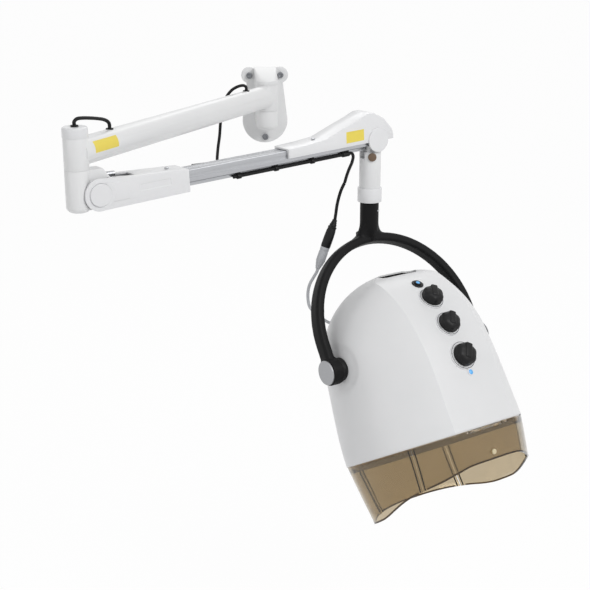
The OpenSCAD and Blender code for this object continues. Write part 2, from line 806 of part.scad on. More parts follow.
module cable_gland() {
    gap = (gland_x - gland_len - cable_x) / clip_count;
    color([0.5, 0.51, 0.53]) at_arm2() translate([0, -cable_y, 0]) {
        translate([0, 0, -cable_z]) {
            disc_x(gland_r, gland_x - gland_len, gland_x);
            for (i = [0:clip_count - 1]) translate([cable_x + clip_w + i * gap, 0, 0]) rotate([0, 90, 0])
                pipe(cord_d / 2, cord_d / 2 + clip_t, 0, clip_w);
        }
        for (i = [0:clip_count - 1]) box(cable_x + clip_w + i * gap, cable_x + 2 * clip_w + i * gap,
            -clip_t / 2, clip_t / 2, cord_d / 2 + clip_t / 2 - cable_z, -beam_h / 2);
        box(gland_x - gland_len, gland_x, -clip_t / 2, clip_t / 2, gland_r - clip_t - cable_z, -beam_h / 2);
    }
}
module link_bar() {
    color([0.72, 0.73, 0.75]) at_link() difference() {
        union() {
            box(0, arm2_len, -link_half_w, link_half_w, -link_half_h, link_half_h);
            disc_y(link_eye_r, -link_half_w, link_half_w);
            translate([arm2_len, 0, 0]) disc_y(link_eye_r, -link_half_w, link_half_w);
        }
        disc_y(link_pin_d / 2 + run_gap, -post_d, post_d);
        translate([arm2_len, 0, 0]) disc_y(front_pin_d / 2 + loose_gap, -post_d, post_d);
    }
}

// Front tube
module front_tube() {
    color([0.88, 0.88, 0.89]) at_front() difference() {
        union() {
            translate([0, 0, -tube_drop]) cylinder(r = tube_d / 2, h = tube_drop - fork_start);
            both_y() slab_y(cheek_in, cheek_out) {
                circle(fork_top_r);
                translate([-fork_top_r, -slot_low]) square([2 * fork_top_r, slot_low]);
            }
        }
        box(-tube_d, tube_d, -cheek_in, cheek_in, -slot_low, tube_d);
        disc_y(lift_pin_d / 2 + run_gap, -tube_d, tube_d);
        translate([0, 0, -link_drop]) disc_y(front_pin_d / 2, -tube_d, tube_d);
        translate([0, 0, -tube_drop - over])
            cylinder(r = spigot_d / 2 + run_gap, h = tube_drop + over - bore_top);
        rotate([0, 0, -stop_turn]) translate([0, 0, -stop_z]) disc_y(stop_r, -tube_d, -tube_d / 2 + clip_t);
    }
}
module front_link_pin() {
    color([0.6, 0.61, 0.63]) at_front() translate([0, 0, -link_drop])
        disc_y(front_pin_d / 2, -cheek_out, cheek_out);
}
module bump_stop() {
    color([0.45, 0.35, 0.25]) at_front() rotate([0, 0, -stop_turn]) translate([0, 0, -stop_z])
        disc_y(stop_r, -tube_d / 2 - stop_len + clip_t, -tube_d / 2 + clip_t);
}
module stem_collar() {
    color([0.88, 0.88, 0.89]) at_front()
        pipe(spigot_d / 2 + run_gap, collar_d / 2, -tube_drop - collar_h, -tube_drop);
}

// Yoke
stem_top = tube_drop + collar_h + seam;
bow_out = bow_r + bar_w / 2;
fillet_x = stem_d / 2 + fillet_r;
fillet_z = sqrt(pow(bow_out + fillet_r, 2) - pow(fillet_x, 2));
module yoke() {
    color([0.12, 0.12, 0.13]) difference() {
        union() {
            at_front() {
                translate([0, 0, -stem_top]) cylinder(r = spigot_d / 2, h = stem_top - bore_top - over);
                translate([0, 0, -crown_drop + knee_up])
                    cylinder(r = stem_d / 2, h = crown_drop - knee_up - stem_top);
            }
            hull() {
                at_front() translate([0, 0, -crown_drop + knee_up])
                    cylinder(r = stem_d / 2 - knee_in, h = slice, $fn = hull_fn);
                at_bow() translate([0, 0, bow_r]) rotate([90, 0, 0])
                    cylinder(r = bar_w / 2 - over, h = bar_t - 2 * over, center = true, $fn = hull_fn);
            }
            at_bow() {
                rotate([90, 0, 0]) rotate_extrude(angle = 180) translate([bow_r, 0])
                    round_rect(bar_w, bar_t, bar_round);
                both_x() translate([bow_r, 0, -leg_len]) linear_extrude(leg_len)
                    round_rect(bar_w, bar_t, bar_round);
                slab_y(-bar_t / 2 + bar_round / 2, bar_t / 2 - bar_round / 2) difference() {
                    polygon([[-fillet_x, bow_r * cos(asin(fillet_x / bow_out))],
                        [fillet_x, bow_r * cos(asin(fillet_x / bow_out))],
                        [fillet_x * bow_out / (bow_out + fillet_r),
                            fillet_z * bow_out / (bow_out + fillet_r)],
                        [stem_d / 2, fillet_z], [-stem_d / 2, fillet_z],
                        [-fillet_x * bow_out / (bow_out + fillet_r),
                            fillet_z * bow_out / (bow_out + fillet_r)]]);
                    for (x = [-1, 1]) translate([x * fillet_x, fillet_z]) circle(fillet_r);
                    circle(bow_r);
                }
            }
            at_hub() both_x() disc_x(hub_d / 2, hub_in, hub_in + hub_len);
        }
        at_hub() disc_x(tilt_pin_d / 2 + run_gap, -bow_r - bar_w * 2, bow_r + bar_w * 2);
        at_front() rotate([0, 0, stem_screw_turn]) translate([0, 0, -stem_screw_z])
            disc_y(stem_screw_r, -stem_d, -stem_d / 2 + stem_screw_h);
    }
}
hub_in = bow_r + bar_w / 2 + hub_proud - hub_len;
module stem_screw() {
    color([0.75, 0.76, 0.78]) at_front() rotate([0, 0, stem_screw_turn]) translate([0, 0, -stem_screw_z])
        disc_y(stem_screw_r, -stem_d / 2 - stem_screw_h / 2, -stem_d / 2 + stem_screw_h);
}
module hub_caps() {
    color([0.72, 0.73, 0.75]) at_hub() both_x() translate([hub_in + hub_len + cap_disc_h, 0, 0])
        rotate([0, -90, 0]) round_post(cap_disc_d / 2, 0, cap_disc_h, cap_disc_h / 3);
}

// Cord from the arm to the hood
module upper_lead() {
    color([0.1, 0.1, 0.11]) at_arm2() tube_along(spline(upper_route, 2), cord_d / 2, 10, [0, 1, 0]);
}
module lower_lead() {
    color([0.1, 0.1, 0.11]) at_front() tube_along(spline(lower_route, 2), cord_d / 2, 10, [0, 1, 0]);
}
module along(a, b) {
    d = b - a;
    translate(a) rotate([0, acos(d[2] / norm(d)), atan2(d[1], d[0])]) children();
}
socket_a = lower_route[len(lower_route) - 1];
plug_b = grey_route[0];
socket_len = norm(plug_b - socket_a);
flange_r = 9;
socket_r = 10;
plug_r = 9.5;
socket_share = 0.56;
relief_share = 0.16;
module cord_socket() {
    color([0.1, 0.1, 0.11]) at_front() along(socket_a, plug_b) {
        cylinder(r1 = relief_r, r2 = flange_r, h = socket_len * relief_share);
        translate([0, 0, socket_len * relief_share])
            cylinder(r = socket_r, h = socket_len * (socket_share - relief_share));
    }
}
module grey_plug() {
    color([0.55, 0.56, 0.57]) at_front() along(socket_a, plug_b) {
        translate([0, 0, socket_len * socket_share])
            cylinder(r = plug_r, h = socket_len * (1 - socket_share - relief_share));
        translate([0, 0, socket_len * (1 - relief_share)])
            cylinder(r1 = plug_r, r2 = relief_r, h = socket_len * relief_share);
    }
}
module grey_lead() {
    color([0.68, 0.69, 0.7]) at_front() tube_along(spline(grey_route, 3), grey_cord_d / 2, 10, [0, 1, 0]);
}

// Hood sections: half width, front reach and back reach at a height q
function half_w(q) = q > 0 ? hood_half_w * sqrt(max(0, 1 - pow(q / hood_top, 2)))
    : hood_half_w + (rim_half_w - hood_half_w) * ease(clamp01(-q / rim_drop));
function reach_front(q) = q > -front_low_q
    ? hood_front * power(1 - power((q + front_low_q) / (hood_top + front_low_q), front_exp_share),
        1 / front_exp_share)
    : hood_front + front_flare * pow((-front_low_q - q) / (rim_drop - front_low_q), 2);
function reach_rear(q) = q > -rear_low_q
    ? hood_rear * power(1 - power((q + rear_low_q) / (hood_top + rear_low_q), rear_exp_share),
        1 / rear_exp_share)
    : hood_rear - rear_tuck * pow((-rear_low_q - q) / (rim_drop - rear_low_q), 2);

// One half of a section, from the front middle (u = 0) to the back middle (u = 1), [h, p]
strip_end = 0.2;
side_end = 0.6;
function half_point(u, w, f, r)
    = let (s = min(strip_half_w, w * strip_share), b = strip_bow * min(1, w / hood_half_w),
    m = -widest_back * min(1, w / hood_half_w))
    u <= strip_end ? let (t = u / strip_end) [s * t, f - b * t * t]
    : u <= side_end ? let (t = (u - strip_end) / (side_end - strip_end), g = f - b)
        [pow(1 - t, 2) * s + 2 * t * (1 - t) * w * cheek_share + t * t * w,
            pow(1 - t, 2) * g + 2 * t * (1 - t) * (m + (g - m) * crest_share) + t * t * m]
    : let (a = 90 * (u - side_end) / (1 - side_end), e = 2 / corner_exp_share)
        [w * power(cos(a), e), m - (m + r) * power(sin(a), e)];

// Point of the skin at inset t, height q, place u in -1..1; below the rim the walls draw in
function skin(u, q, t) = let (k = hood_top / (hood_top - t), qq = q > 0 ? min(q * k, hood_top - tiny) : q,
    d = clamp01((-rim_drop - q) / visor_drop), v = abs(u),
    p = half_point(v, max(half_w(qq) * (1 - side_taper_share * d) - t, tiny),
        max(reach_front(qq) * (1 - front_taper_share * pow(d, taper_exp_share)) - t, tiny),
        max(reach_rear(qq) * (1 - rear_taper_share * d) - t, tiny)))
    [sign(u) * p[0], -p[1], q];

// Closed skin between two insets, from a lower to an upper height
us = [for (i = [-19:20]) i / 20];
function band(qs, t) = [for (q = qs, u = us) skin(u, q, t)];
module ring_body(qs, t0, t1) {
    m = len(us);
    n = len(qs);
    pts = concat(band(qs, t0), band(qs, t1));
    o = m * n;
    function quad(a, b, c, d) = [[a, b, c], [a, c, d]];
    out = [for (i = [0:n - 2], k = [0:m - 1]) let (j = (k + 1) % m)
        each quad(i * m + k, i * m + j, (i + 1) * m + j, (i + 1) * m + k)];
    inn = [for (i = [0:n - 2], k = [0:m - 1]) let (j = (k + 1) % m)
        each quad(o + i * m + j, o + i * m + k, o + (i + 1) * m + k, o + (i + 1) * m + j)];
    low = [for (k = [0:m - 1]) let (j = (k + 1) % m) each quad(k, o + k, o + j, j)];
    top = [for (k = [0:m - 1]) let (j = (k + 1) % m)
        each quad((n - 1) * m + j, o + (n - 1) * m + j, o + (n - 1) * m + k, (n - 1) * m + k)];
    polyhedron(points = pts, faces = [for (f = concat(out, inn, low, top)) [f[2], f[1], f[0]]],
        convexity = 6);
}

// Dome skin with a closed top
module dome(qs, t0, t1) {
    m = len(us);
    n = len(qs);
    qi = [for (q = qs) q > 0 ? q * (hood_top - t1) / (hood_top - t0) : q];
    tip0 = [0, 0, hood_top - t0];
    tip1 = [0, 0, hood_top - t1];
    pts = concat(band(qs, t0), band(qi, t1), [tip0, tip1]);
    o = m * n;
    function quad(a, b, c, d) = [[a, b, c], [a, c, d]];
    out = [for (i = [0:n - 2], k = [0:m - 1]) let (j = (k + 1) % m)
        each quad(i * m + k, i * m + j, (i + 1) * m + j, (i + 1) * m + k)];
    inn = [for (i = [0:n - 2], k = [0:m - 1]) let (j = (k + 1) % m)
        each quad(o + i * m + j, o + i * m + k, o + (i + 1) * m + k, o + (i + 1) * m + j)];
    low = [for (k = [0:m - 1]) let (j = (k + 1) % m) each quad(k, o + k, o + j, j)];
    tops = [for (k = [0:m - 1]) let (j = (k + 1) % m)
        each [[(n - 1) * m + k, (n - 1) * m + j, 2 * o],
            [o + (n - 1) * m + j, o + (n - 1) * m + k, 2 * o + 1]]];
    polyhedron(points = pts, faces = [for (f = concat(out, inn, low, tops)) [f[2], f[1], f[0]]],
        convexity = 6);
}
dome_levels = [for (i = [0:8]) -rim_drop * (1 - i / 8)];
crown_levels = [for (i = [1:11]) hood_top * sin(90 * i / 12)];
module at_front_skin(q) {
    e = strip_bow;
    a = atan2(reach_front(q - e) - reach_front(q + e), 2 * e);
    translate([0, -reach_front(q), q]) rotate([90 - a, 0, 0]) children();
}
module dial_cuts(grow) {
    for (i = [0:2]) at_front_skin(dial_q[i]) translate([0, 0, -dial_sink])
        cylinder(r = dial_r[i], h = dial_sink + grow);
    at_front_skin(button_q) translate([0, 0, -dial_sink]) cylinder(r = bezel_r, h = dial_sink + grow);
    at_front_skin(lamp_q) translate([lamp_h, 0, -lamp_sink]) cylinder(r = lamp_r, h = lamp_sink + grow);
}
module at_vent() { translate([0, -vent_p, vent_z]) rotate([vent_tilt, 0, 0]) children(); }
module vent_outline() {
    circle(vent_half_p);
    for (x = [-1, 1]) translate([x * (vent_half_w - vent_half_p), 0]) circle(vent_half_p);
    square([2 * (vent_half_w - vent_half_p), 2 * vent_half_p], center = true);
}
module at_inlet() { translate([-inlet_h, 0, inlet_q]) children(); }
inlet_y = reach_rear(inlet_q) * inlet_share;
module hood_shell() {
    color([0.88, 0.88, 0.89]) at_hood() difference() {
        dome(concat(dome_levels, crown_levels), 0, shell_t);
        both_x() disc_x(pad_r, hood_half_w - pad_in, hood_half_w + pad_in);
        dial_cuts(dial_sink);
        at_vent() translate([0, 0, -vent_sink]) linear_extrude(vent_sink + vent_cut) vent_outline();
        at_inlet() disc_y(inlet_r, inlet_len, hood_rear);
    }
}
module rim_ring() {
    color([0.3, 0.3, 0.31]) at_hood() difference() {
        union() {
            ring_body([-rim_drop - ring_low, -rim_drop, -rim_drop + ring_up], shell_t + visor_seat,
                shell_t + ring_t);
            hinge_places() {
                disc_x(lug_r, -lug_half, lug_half);
                box(-lug_half, lug_half, 0, lug_foot, -lug_r, lug_r);
            }
        }
        knuckle_places() disc_x(knuckle_r + flat_gap, -knuckle_half - flat_gap, knuckle_half + flat_gap);
        at_hinge() disc_x(hinge_rod_r, -hinge_half - over, hinge_half + over);
    }
}
lug_half = 5;
knuckle_half = 8;
lug_place = 44;
knuckle_place = 25;
module at_hinge() { translate([0, -hood_front - front_flare + hinge_in, -rim_drop - hinge_low]) children(); }
module hinge_places() { at_hinge() for (x = [-1, 1]) translate([x * lug_place, 0, 0]) children(); }
module knuckle_places() { at_hinge() for (x = [-1, 1]) translate([x * knuckle_place, 0, 0]) children(); }
module visor_hinge_rod() {
    color([0.7, 0.71, 0.73]) at_hood() at_hinge() disc_x(hinge_rod_r, -hinge_half, hinge_half);
}

// Visor panels between two places round the rim
function edge_q(u) = -rim_drop - visor_drop
    * lookup(-skin(u, -rim_drop, 0)[1] / (hood_front + front_flare), visor_edge_shares);
visor_levels = 5;
module visor_panel(u0, u1, steps, top_gap) {
    m = steps + 1;
    n = visor_levels + 1;
    function place(i, k) = let (u = u0 + (u1 - u0) * k / steps, uu = u > 1 ? u - 2 : u,
        a = -rim_drop - top_gap)
        [uu, a + (edge_q(uu) - a) * i / visor_levels];
    pts = concat([for (i = [0:n - 1], k = [0:m - 1]) let (s = place(i, k)) skin(s[0], s[1], 0)],
        [for (i = [0:n - 1], k = [0:m - 1]) let (s = place(i, k)) skin(s[0], s[1], visor_t)]);
    o = m * n;
    function quad(a, b, c, d) = [[a, b, c], [a, c, d]];
    out = [for (i = [0:n - 2], k = [0:m - 2])
        each quad(i * m + k, i * m + k + 1, (i + 1) * m + k + 1, (i + 1) * m + k)];
    inn = [for (i = [0:n - 2], k = [0:m - 2])
        each quad(o + i * m + k + 1, o + i * m + k, o + (i + 1) * m + k, o + (i + 1) * m + k + 1)];
    rims = [for (k = [0:m - 2]) each concat(quad(k + 1, k, o + k, o + k + 1),
        quad((n - 1) * m + k, (n - 1) * m + k + 1, o + (n - 1) * m + k + 1, o + (n - 1) * m + k))];
    sides = [for (i = [0:n - 2]) each concat(quad(i * m, (i + 1) * m, o + (i + 1) * m, o + i * m),
        quad((i + 1) * m + m - 1, i * m + m - 1, o + i * m + m - 1, o + (i + 1) * m + m - 1))];
    polyhedron(points = pts, faces = concat(out, inn, rims, sides), convexity = 4);
}
gap_share = 0.0015;
module front_visor() {
    color([0.6, 0.53, 0.43, 0.6]) at_hood() difference() {
        union() {
            difference() {
                visor_panel(-front_seam_share + gap_share, front_seam_share - gap_share, 18, visor_top_gap);
                at_hinge() box(-hinge_half - notch_side, hinge_half + notch_side, -notch_reach, notch_reach,
                    -knuckle_r + seam / 2, hinge_notch);
            }
            knuckle_places() disc_x(knuckle_r, -knuckle_half, knuckle_half);
        }
        at_hinge() disc_x(hinge_rod_r + run_gap, -hinge_half - over, hinge_half + over);
    }
}
module side_visors() {
    color([0.6, 0.53, 0.43, 0.6]) at_hood() both_x()
        visor_panel(front_seam_share + gap_share, rear_seam_share - gap_share, 16, seam);
}
module rear_visor() {
    color([0.6, 0.53, 0.43, 0.6]) at_hood()
        visor_panel(rear_seam_share + gap_share, 2 - rear_seam_share - gap_share, 16, seam);
}
module visor_grip() {
    q = -rim_drop - grip_low;
    a = atan2(skin(0, q + grip_r, 0)[1] - skin(0, q - grip_r, 0)[1], 2 * grip_r);
    color([0.85, 0.82, 0.75]) at_hood() translate([0, skin(0, q, 0)[1], q])
        rotate([90 - a, 0, 0]) translate([0, 0, seam / 2]) cylinder(r = grip_r, h = grip_h - seam);
}
module tilt_pins() {
    color([0.6, 0.61, 0.63]) at_hood() both_x() {
        disc_x(pad_r, hood_half_w - pad_in, hood_half_w + pad_out);
        disc_x(tilt_pin_d / 2, hood_half_w, hub_in + hub_len);
    }
}
module dial_rings() {
    color([0.75, 0.76, 0.78]) at_hood() {
        for (i = [0:2]) at_front_skin(dial_q[i])
            pipe(shaft_d / 2 + run_gap, dial_r[i], -dial_sink, dial_lift);
        at_front_skin(button_q) pipe(button_d / 2 + slide_gap, bezel_r, -dial_sink, bezel_lift);
    }
}
module top_vent() {
    color([0.15, 0.15, 0.16]) at_hood() at_vent() difference() {
        translate([0, 0, -vent_sink]) linear_extrude(vent_sink + vent_t) vent_outline();
        for (i = [0:vent_slots - 1])
            translate([(i - (vent_slots - 1) / 2) * vent_slot_w * vent_pitch_share, 0, 0])
                box(-vent_slot_w / 2, vent_slot_w / 2, -vent_half_p * vent_slot_share,
                    vent_half_p * vent_slot_share,
                    -vent_sink - over, vent_t + over);
    }
}
module pilot_lamp() {
    color([0.25, 0.6, 0.9]) at_hood() at_front_skin(lamp_q) translate([lamp_h, 0, -lamp_sink])
        cylinder(r = lamp_r, h = lamp_sink + lamp_lift);
}
module cable_inlet() {
    color([0.5, 0.51, 0.53]) at_hood() at_inlet() difference() {
        disc_y(inlet_r, inlet_y - inlet_len, inlet_y + inlet_len / 2);
        disc_y(inlet_r / 2, inlet_y - inlet_len - over, inlet_y - inlet_len / 2);
    }
}

// Inside
bowl_seat_q = -rim_drop + ring_up;
module inner_bowl() {
    color([0.8, 0.8, 0.8]) at_hood() {
        ring_body([bowl_seat_q + seam, bowl_seat_q + bowl_gap, 0, bowl_top], bowl_gap, bowl_gap + bowl_t);
        ring_body([bowl_seat_q + seam, bowl_seat_q + seam + bowl_t], shell_t + visor_seat, bowl_gap + over);
        ring_body([bowl_top, bowl_top + bowl_t], bowl_gap, bowl_lip);
    }
}
bowl_lip = 90;
module fan_wheel() {
    color([0.3, 0.3, 0.31]) at_hood() translate([0, 0, fan_q]) {
        difference() {
            union() {
                cylinder(r = fan_hub_r, h = fan_h);
                for (i = [0:fan_blades - 1]) rotate([0, 0, 360 * i / fan_blades])
                    translate([fan_hub_r - over, -blade_t / 2, 0]) cube([fan_r - fan_hub_r, blade_t, fan_h]);
                cylinder(r = fan_r, h = blade_t);
            }
            translate([0, 0, -over]) cylinder(r = fan_shaft_r + run_gap, h = fan_h + 2 * over);
        }
    }
}
module motor() {
    color([0.45, 0.45, 0.47]) at_hood() {
        translate([0, 0, fan_q - motor_gap - motor_h]) cylinder(r = motor_r, h = motor_h);
        translate([0, 0, fan_q - motor_gap - over]) cylinder(r = fan_shaft_r, h = motor_gap + over + fan_h);
        for (a = [0, 120, 240]) rotate([0, 0, a]) translate([0, -post_r, bowl_top + bowl_t])
            cube([bowl_post, 2 * post_r, fan_q - motor_gap - bowl_top - bowl_t - motor_h + over * 2]);
        for (a = [0, 120, 240]) rotate([0, 0, a]) translate([bowl_post - post_r, 0, bowl_top + bowl_t])
            cylinder(r = post_r, h = post_r);
    }
}
bowl_post = 88;
module heater() {
    color([0.6, 0.3, 0.2]) at_hood() translate([0, 0, heater_q]) {
        rotate_extrude() translate([heater_r, 0]) circle(heater_tube_r);
        for (a = [60, 180, 300]) rotate([0, 0, a]) translate([motor_r + seam, -post_r / 2, -post_r / 2])
            cube([heater_r - motor_r - seam, post_r, post_r]);
    }
}
module circuit_board() {
    color([0.15, 0.4, 0.2]) at_hood() box(-board_half_w, board_half_w, -board_out, -board_in,
        bowl_top + bowl_t, bowl_top + bowl_t + board_t);
}

// Knobs and button
module winged(d, h) {
    cylinder(d = d * (1 - wing_share), h = h * skirt_share);
    for (i = [0:2]) rotate([0, 0, 60 * i]) translate([-d / 2 + d * wing_share / 2, -d * wing_share / 2, 0])
        cube([d - d * wing_share, d * wing_share, h * crown_share]);
    for (i = [0:5]) rotate([0, 0, 60 * i]) translate([d / 2 - d * wing_share / 2, 0, 0])
        cylinder(d = d * wing_share, h = h * crown_share);
    cylinder(d = d * core_share, h = h * crown_share);
    translate([-d / 2 + d * wing_share / 2, -d * wing_share / 2, 0])
        cube([d - d * wing_share, d * wing_share, h]);
}
module knob(i, d) {
    color([0.1, 0.1, 0.11]) at_hood() at_front_skin(dial_q[i]) {
        translate([0, 0, dial_lift + knob_seat]) winged(d, knob_h);
        translate([0, 0, -shaft_in]) cylinder(d = shaft_d, h = shaft_in + dial_lift + knob_seat + over);
    }
}
module knob_1() { knob(0, knob_d); }
module knob_2() { knob(1, knob_d); }
module knob_3() { knob(2, knob_low_d); }
module power_button() {
    color([0.2, 0.5, 0.8]) at_hood() at_front_skin(button_q)
        translate([0, 0, -dial_sink + button_travel + seam])
        cylinder(d = button_d, h = dial_sink - button_travel - seam + bezel_lift + button_lift);
}

wall_plate();
wall_screws();
wall_pivot_pin();
wall_bushes();
first_arm_tube();
post_cap();
cord_grommets();
loop_cord();
mains_lead();
mains_hank();
hank_tie();
mains_plug();
elbow_knuckle();
elbow_spindle();
elbow_bushes();
spring_anchor();
rear_link_pin();
arm_beam();
arm_pins();
elbow_cover();
front_cover();
pivot_caps();
cover_screws();
balance_spring();
arm_cable();
cable_gland();
link_bar();
front_tube();
front_link_pin();
bump_stop();
stem_collar();
yoke();
stem_screw();
hub_caps();
upper_lead();
lower_lead();
cord_socket();
grey_plug();
grey_lead();
hood_shell();
rim_ring();
tilt_pins();
dial_rings();
top_vent();
pilot_lamp();
cable_inlet();
inner_bowl();
heater();
motor();
circuit_board();
rear_visor();
side_visors();
visor_hinge_rod();
front_visor();
visor_grip();
fan_wheel();
knob_1();
knob_2();
knob_3();
power_button();
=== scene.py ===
# %% [markdown]
# A wall-mounted hood dryer. The imported model is loaded first and stays where it is. Every
# piece below is made around it, in the same frame, and most ride on one of its bodies.

# %% Load the imported frame
import json
import math
import bpy
import bmesh
from mathutils import Matrix, Vector

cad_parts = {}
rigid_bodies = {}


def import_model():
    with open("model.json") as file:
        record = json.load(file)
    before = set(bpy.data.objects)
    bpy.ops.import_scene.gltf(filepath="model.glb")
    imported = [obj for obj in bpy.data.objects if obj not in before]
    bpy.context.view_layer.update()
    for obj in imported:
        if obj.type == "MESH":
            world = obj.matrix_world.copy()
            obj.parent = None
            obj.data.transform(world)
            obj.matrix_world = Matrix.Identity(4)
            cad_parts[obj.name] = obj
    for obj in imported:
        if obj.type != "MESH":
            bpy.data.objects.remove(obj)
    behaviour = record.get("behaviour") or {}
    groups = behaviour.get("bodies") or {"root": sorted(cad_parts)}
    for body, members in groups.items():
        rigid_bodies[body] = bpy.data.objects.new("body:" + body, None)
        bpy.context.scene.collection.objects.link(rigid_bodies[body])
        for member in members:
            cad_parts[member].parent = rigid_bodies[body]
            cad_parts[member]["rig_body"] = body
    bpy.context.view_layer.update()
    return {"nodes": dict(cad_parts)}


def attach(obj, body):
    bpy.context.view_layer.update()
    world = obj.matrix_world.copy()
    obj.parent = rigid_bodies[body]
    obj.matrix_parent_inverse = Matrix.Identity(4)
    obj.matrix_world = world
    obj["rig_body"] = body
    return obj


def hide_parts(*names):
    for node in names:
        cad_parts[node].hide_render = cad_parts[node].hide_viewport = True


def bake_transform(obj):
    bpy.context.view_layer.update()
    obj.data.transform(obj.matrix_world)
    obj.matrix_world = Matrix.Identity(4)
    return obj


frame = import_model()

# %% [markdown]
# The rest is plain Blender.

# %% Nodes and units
nodes = frame["nodes"]
MM = 0.001

# %% [markdown]
# The dryer is a chain: wall, first arm, second arm, front tube, fork, hood. Each link has a
# frame of its own, so a piece is drawn in plain millimetres beside its own pivot and one
# matrix carries it to its place in metres. Typing world places for every piece would also
# work, but then a tilted dial would need its slope worked out by hand each time.

# %% Frames of the links
def shift(x, y, z):
    return Matrix.Translation(Vector((x, y, z)))


def turn(axis, degrees):
    return Matrix.Rotation(math.radians(degrees), 4, axis)


ARM1_LEN, ARM2_LEN, ARM1_YAW, ARM2_YAW, ARM2_RISE = 745, 626, 239.3, 30, 2.9
BOW_R, LEG, LEAN, TILT, CROWN = 193.5, 55, 31.3, 30, 212
ARM1 = Matrix.Scale(MM, 4) @ shift(0, -61, 26) @ turn("Z", ARM1_YAW)
ELBOW = ARM1 @ shift(ARM1_LEN, 0, 0) @ turn("Z", ARM2_YAW - ARM1_YAW)
LIFT = ELBOW @ shift(30, 0, -74.4)
ARM2 = LIFT @ turn("Y", -ARM2_RISE)
FRONT = ARM2 @ shift(ARM2_LEN, 0, 0) @ turn("Y", ARM2_RISE)
LEAN_RAD = math.radians(LEAN)
HUB = FRONT @ shift(0, -(BOW_R + LEG) * math.sin(LEAN_RAD), -CROWN - (BOW_R + LEG) * math.cos(LEAN_RAD))
HOOD = HUB @ turn("X", -TILT)
print("hub", [round(c, 4) for c in HUB.translation])

# %% [markdown]
# The camera stands where the photograph was taken from: a long lens, a little above the
# hood, looking down and slightly to the right.

# %% Camera
FOCAL_PX, PHOTO_PX, SENSOR = 1254.25, 590, 36
PITCH, YAW, ROLL = math.radians(17.14), math.radians(5.57), math.radians(0.15)
ahead = Vector((math.sin(YAW) * math.cos(PITCH), math.cos(YAW) * math.cos(PITCH), -math.sin(PITCH)))
level = Vector((math.cos(YAW), -math.sin(YAW), 0))
above = level.cross(ahead)
right = level * math.cos(ROLL) - above * math.sin(ROLL)
up = level * math.sin(ROLL) + above * math.cos(ROLL)
STAND = (-0.2118, -2.8762, 0.4297)
lens = bpy.data.cameras.new("view")
lens.sensor_width = SENSOR
lens.lens = SENSOR * FOCAL_PX / PHOTO_PX
camera = bpy.data.objects.new("camera", lens)
camera.matrix_world = Matrix.Translation(STAND) @ Matrix((right, up, -ahead)).transposed().to_4x4()
bpy.context.scene.collection.objects.link(camera)
bpy.context.scene.camera = camera
print("lens", round(lens.lens, 2), "mm")

# %% [markdown]
# A finish is a small tree of shader nodes. The class below makes one and keeps the
# coordinates of the object at hand. Numbers that come out of a node are wrapped, so that
# 1 - mask or grain * 0.2 can be written as in any other Python code.

# %% Finishes: wrapped numbers and the tree builder
class Wire:
    def __init__(self, finish, socket):
        self.finish, self.socket = finish, socket

    def maths(self, operation, first, second):
        made = self.finish.node("ShaderNodeMath", {"operation": operation}, {0: first, 1: second})
        return Wire(self.finish, made.outputs[0])

    def __add__(self, other):
        return self.maths("ADD", self, other)

    def __sub__(self, other):
        return self.maths("SUBTRACT", self, other)

    def __rsub__(self, other):
        return self.maths("SUBTRACT", other, self)

    def __mul__(self, other):
        return self.maths("MULTIPLY", self, other)

    def __gt__(self, other):
        return self.maths("GREATER_THAN", self, other)

    __radd__, __rmul__ = __add__, __mul__


class Finish:
    def __init__(self, name, **values):
        self.material = bpy.data.materials.new(name)
        self.material.use_nodes = True
        self.tree = self.material.node_tree
        self.shader = self.tree.nodes["Principled BSDF"]
        for socket, value in values.items():
            self.shader.inputs[socket.replace("_", " ")].default_value = value
        self.place = self.node("ShaderNodeTexCoord").outputs["Object"]

    def put(self, socket, value):
        value = value.socket if isinstance(value, Wire) else value
        if isinstance(value, bpy.types.NodeSocket):
            self.tree.links.new(value, socket)
        else:
            socket.default_value = value

    def node(self, kind, settings=None, sockets=None):
        made = self.tree.nodes.new(kind)
        for name, value in (settings or {}).items():
            setattr(made, name, value)
        for name, value in (sockets or {}).items():
            self.put(made.inputs[name], value)
        return made

    def noise(self, size, detail=2.0, along=None, turned=0.0, stretch=1.0):
        place = self.place
        if along is not None:
            scale = [1.0 / stretch if axis == along else 1.0 for axis in "XYZ"]
            flat = self.node("ShaderNodeMapping", {"vector_type": "TEXTURE"},
                             {0: place, 2: (0, 0, math.radians(turned))})
            place = self.node("ShaderNodeMapping", None, {0: flat.outputs[0], 3: scale}).outputs[0]
        made = self.node("ShaderNodeTexNoise", None,
                         {"Vector": place, "Scale": 1 / (size * MM), "Detail": detail})
        return Wire(self, made.outputs["Fac"])

    def mixed(self, share, first, second):
        return self.node("ShaderNodeMix", {"data_type": "RGBA"}, {0: share, 6: first, 7: second}).outputs[2]

    def colour(self, value):
        self.put(self.shader.inputs["Base Color"], value)

    def rough(self, value):
        self.put(self.shader.inputs["Roughness"], value)

    def bump(self, height, depth):
        made = self.node("ShaderNodeBump", None,
                         {"Height": height, "Distance": depth * MM, "Strength": 1.0})
        self.put(self.shader.inputs["Normal"], made.outputs[0])


def seen(red, green, blue):
    """A colour as the eye reads it, 0 to 255, turned into the shader's own scale."""
    line = [c / 255 / 12.92 if c < 10.3 else ((c / 255 + 0.055) / 1.055) ** 2.4 for c in (red, green, blue)]
    return (*line, 1.0)


# %% [markdown]
# Moulded and painted surfaces are never one flat colour. Each gets a slow drift of tone, a
# fine skin such as the orange peel of powder paint, and gloss that varies a little, which
# is what breaks up the reflections of the lamps.

# %% Finishes: paint, mouldings and rubber
WORN_EDGE, WORN_SPOT, BARE_METAL = 0.56, 0.52, seen(120, 120, 122)


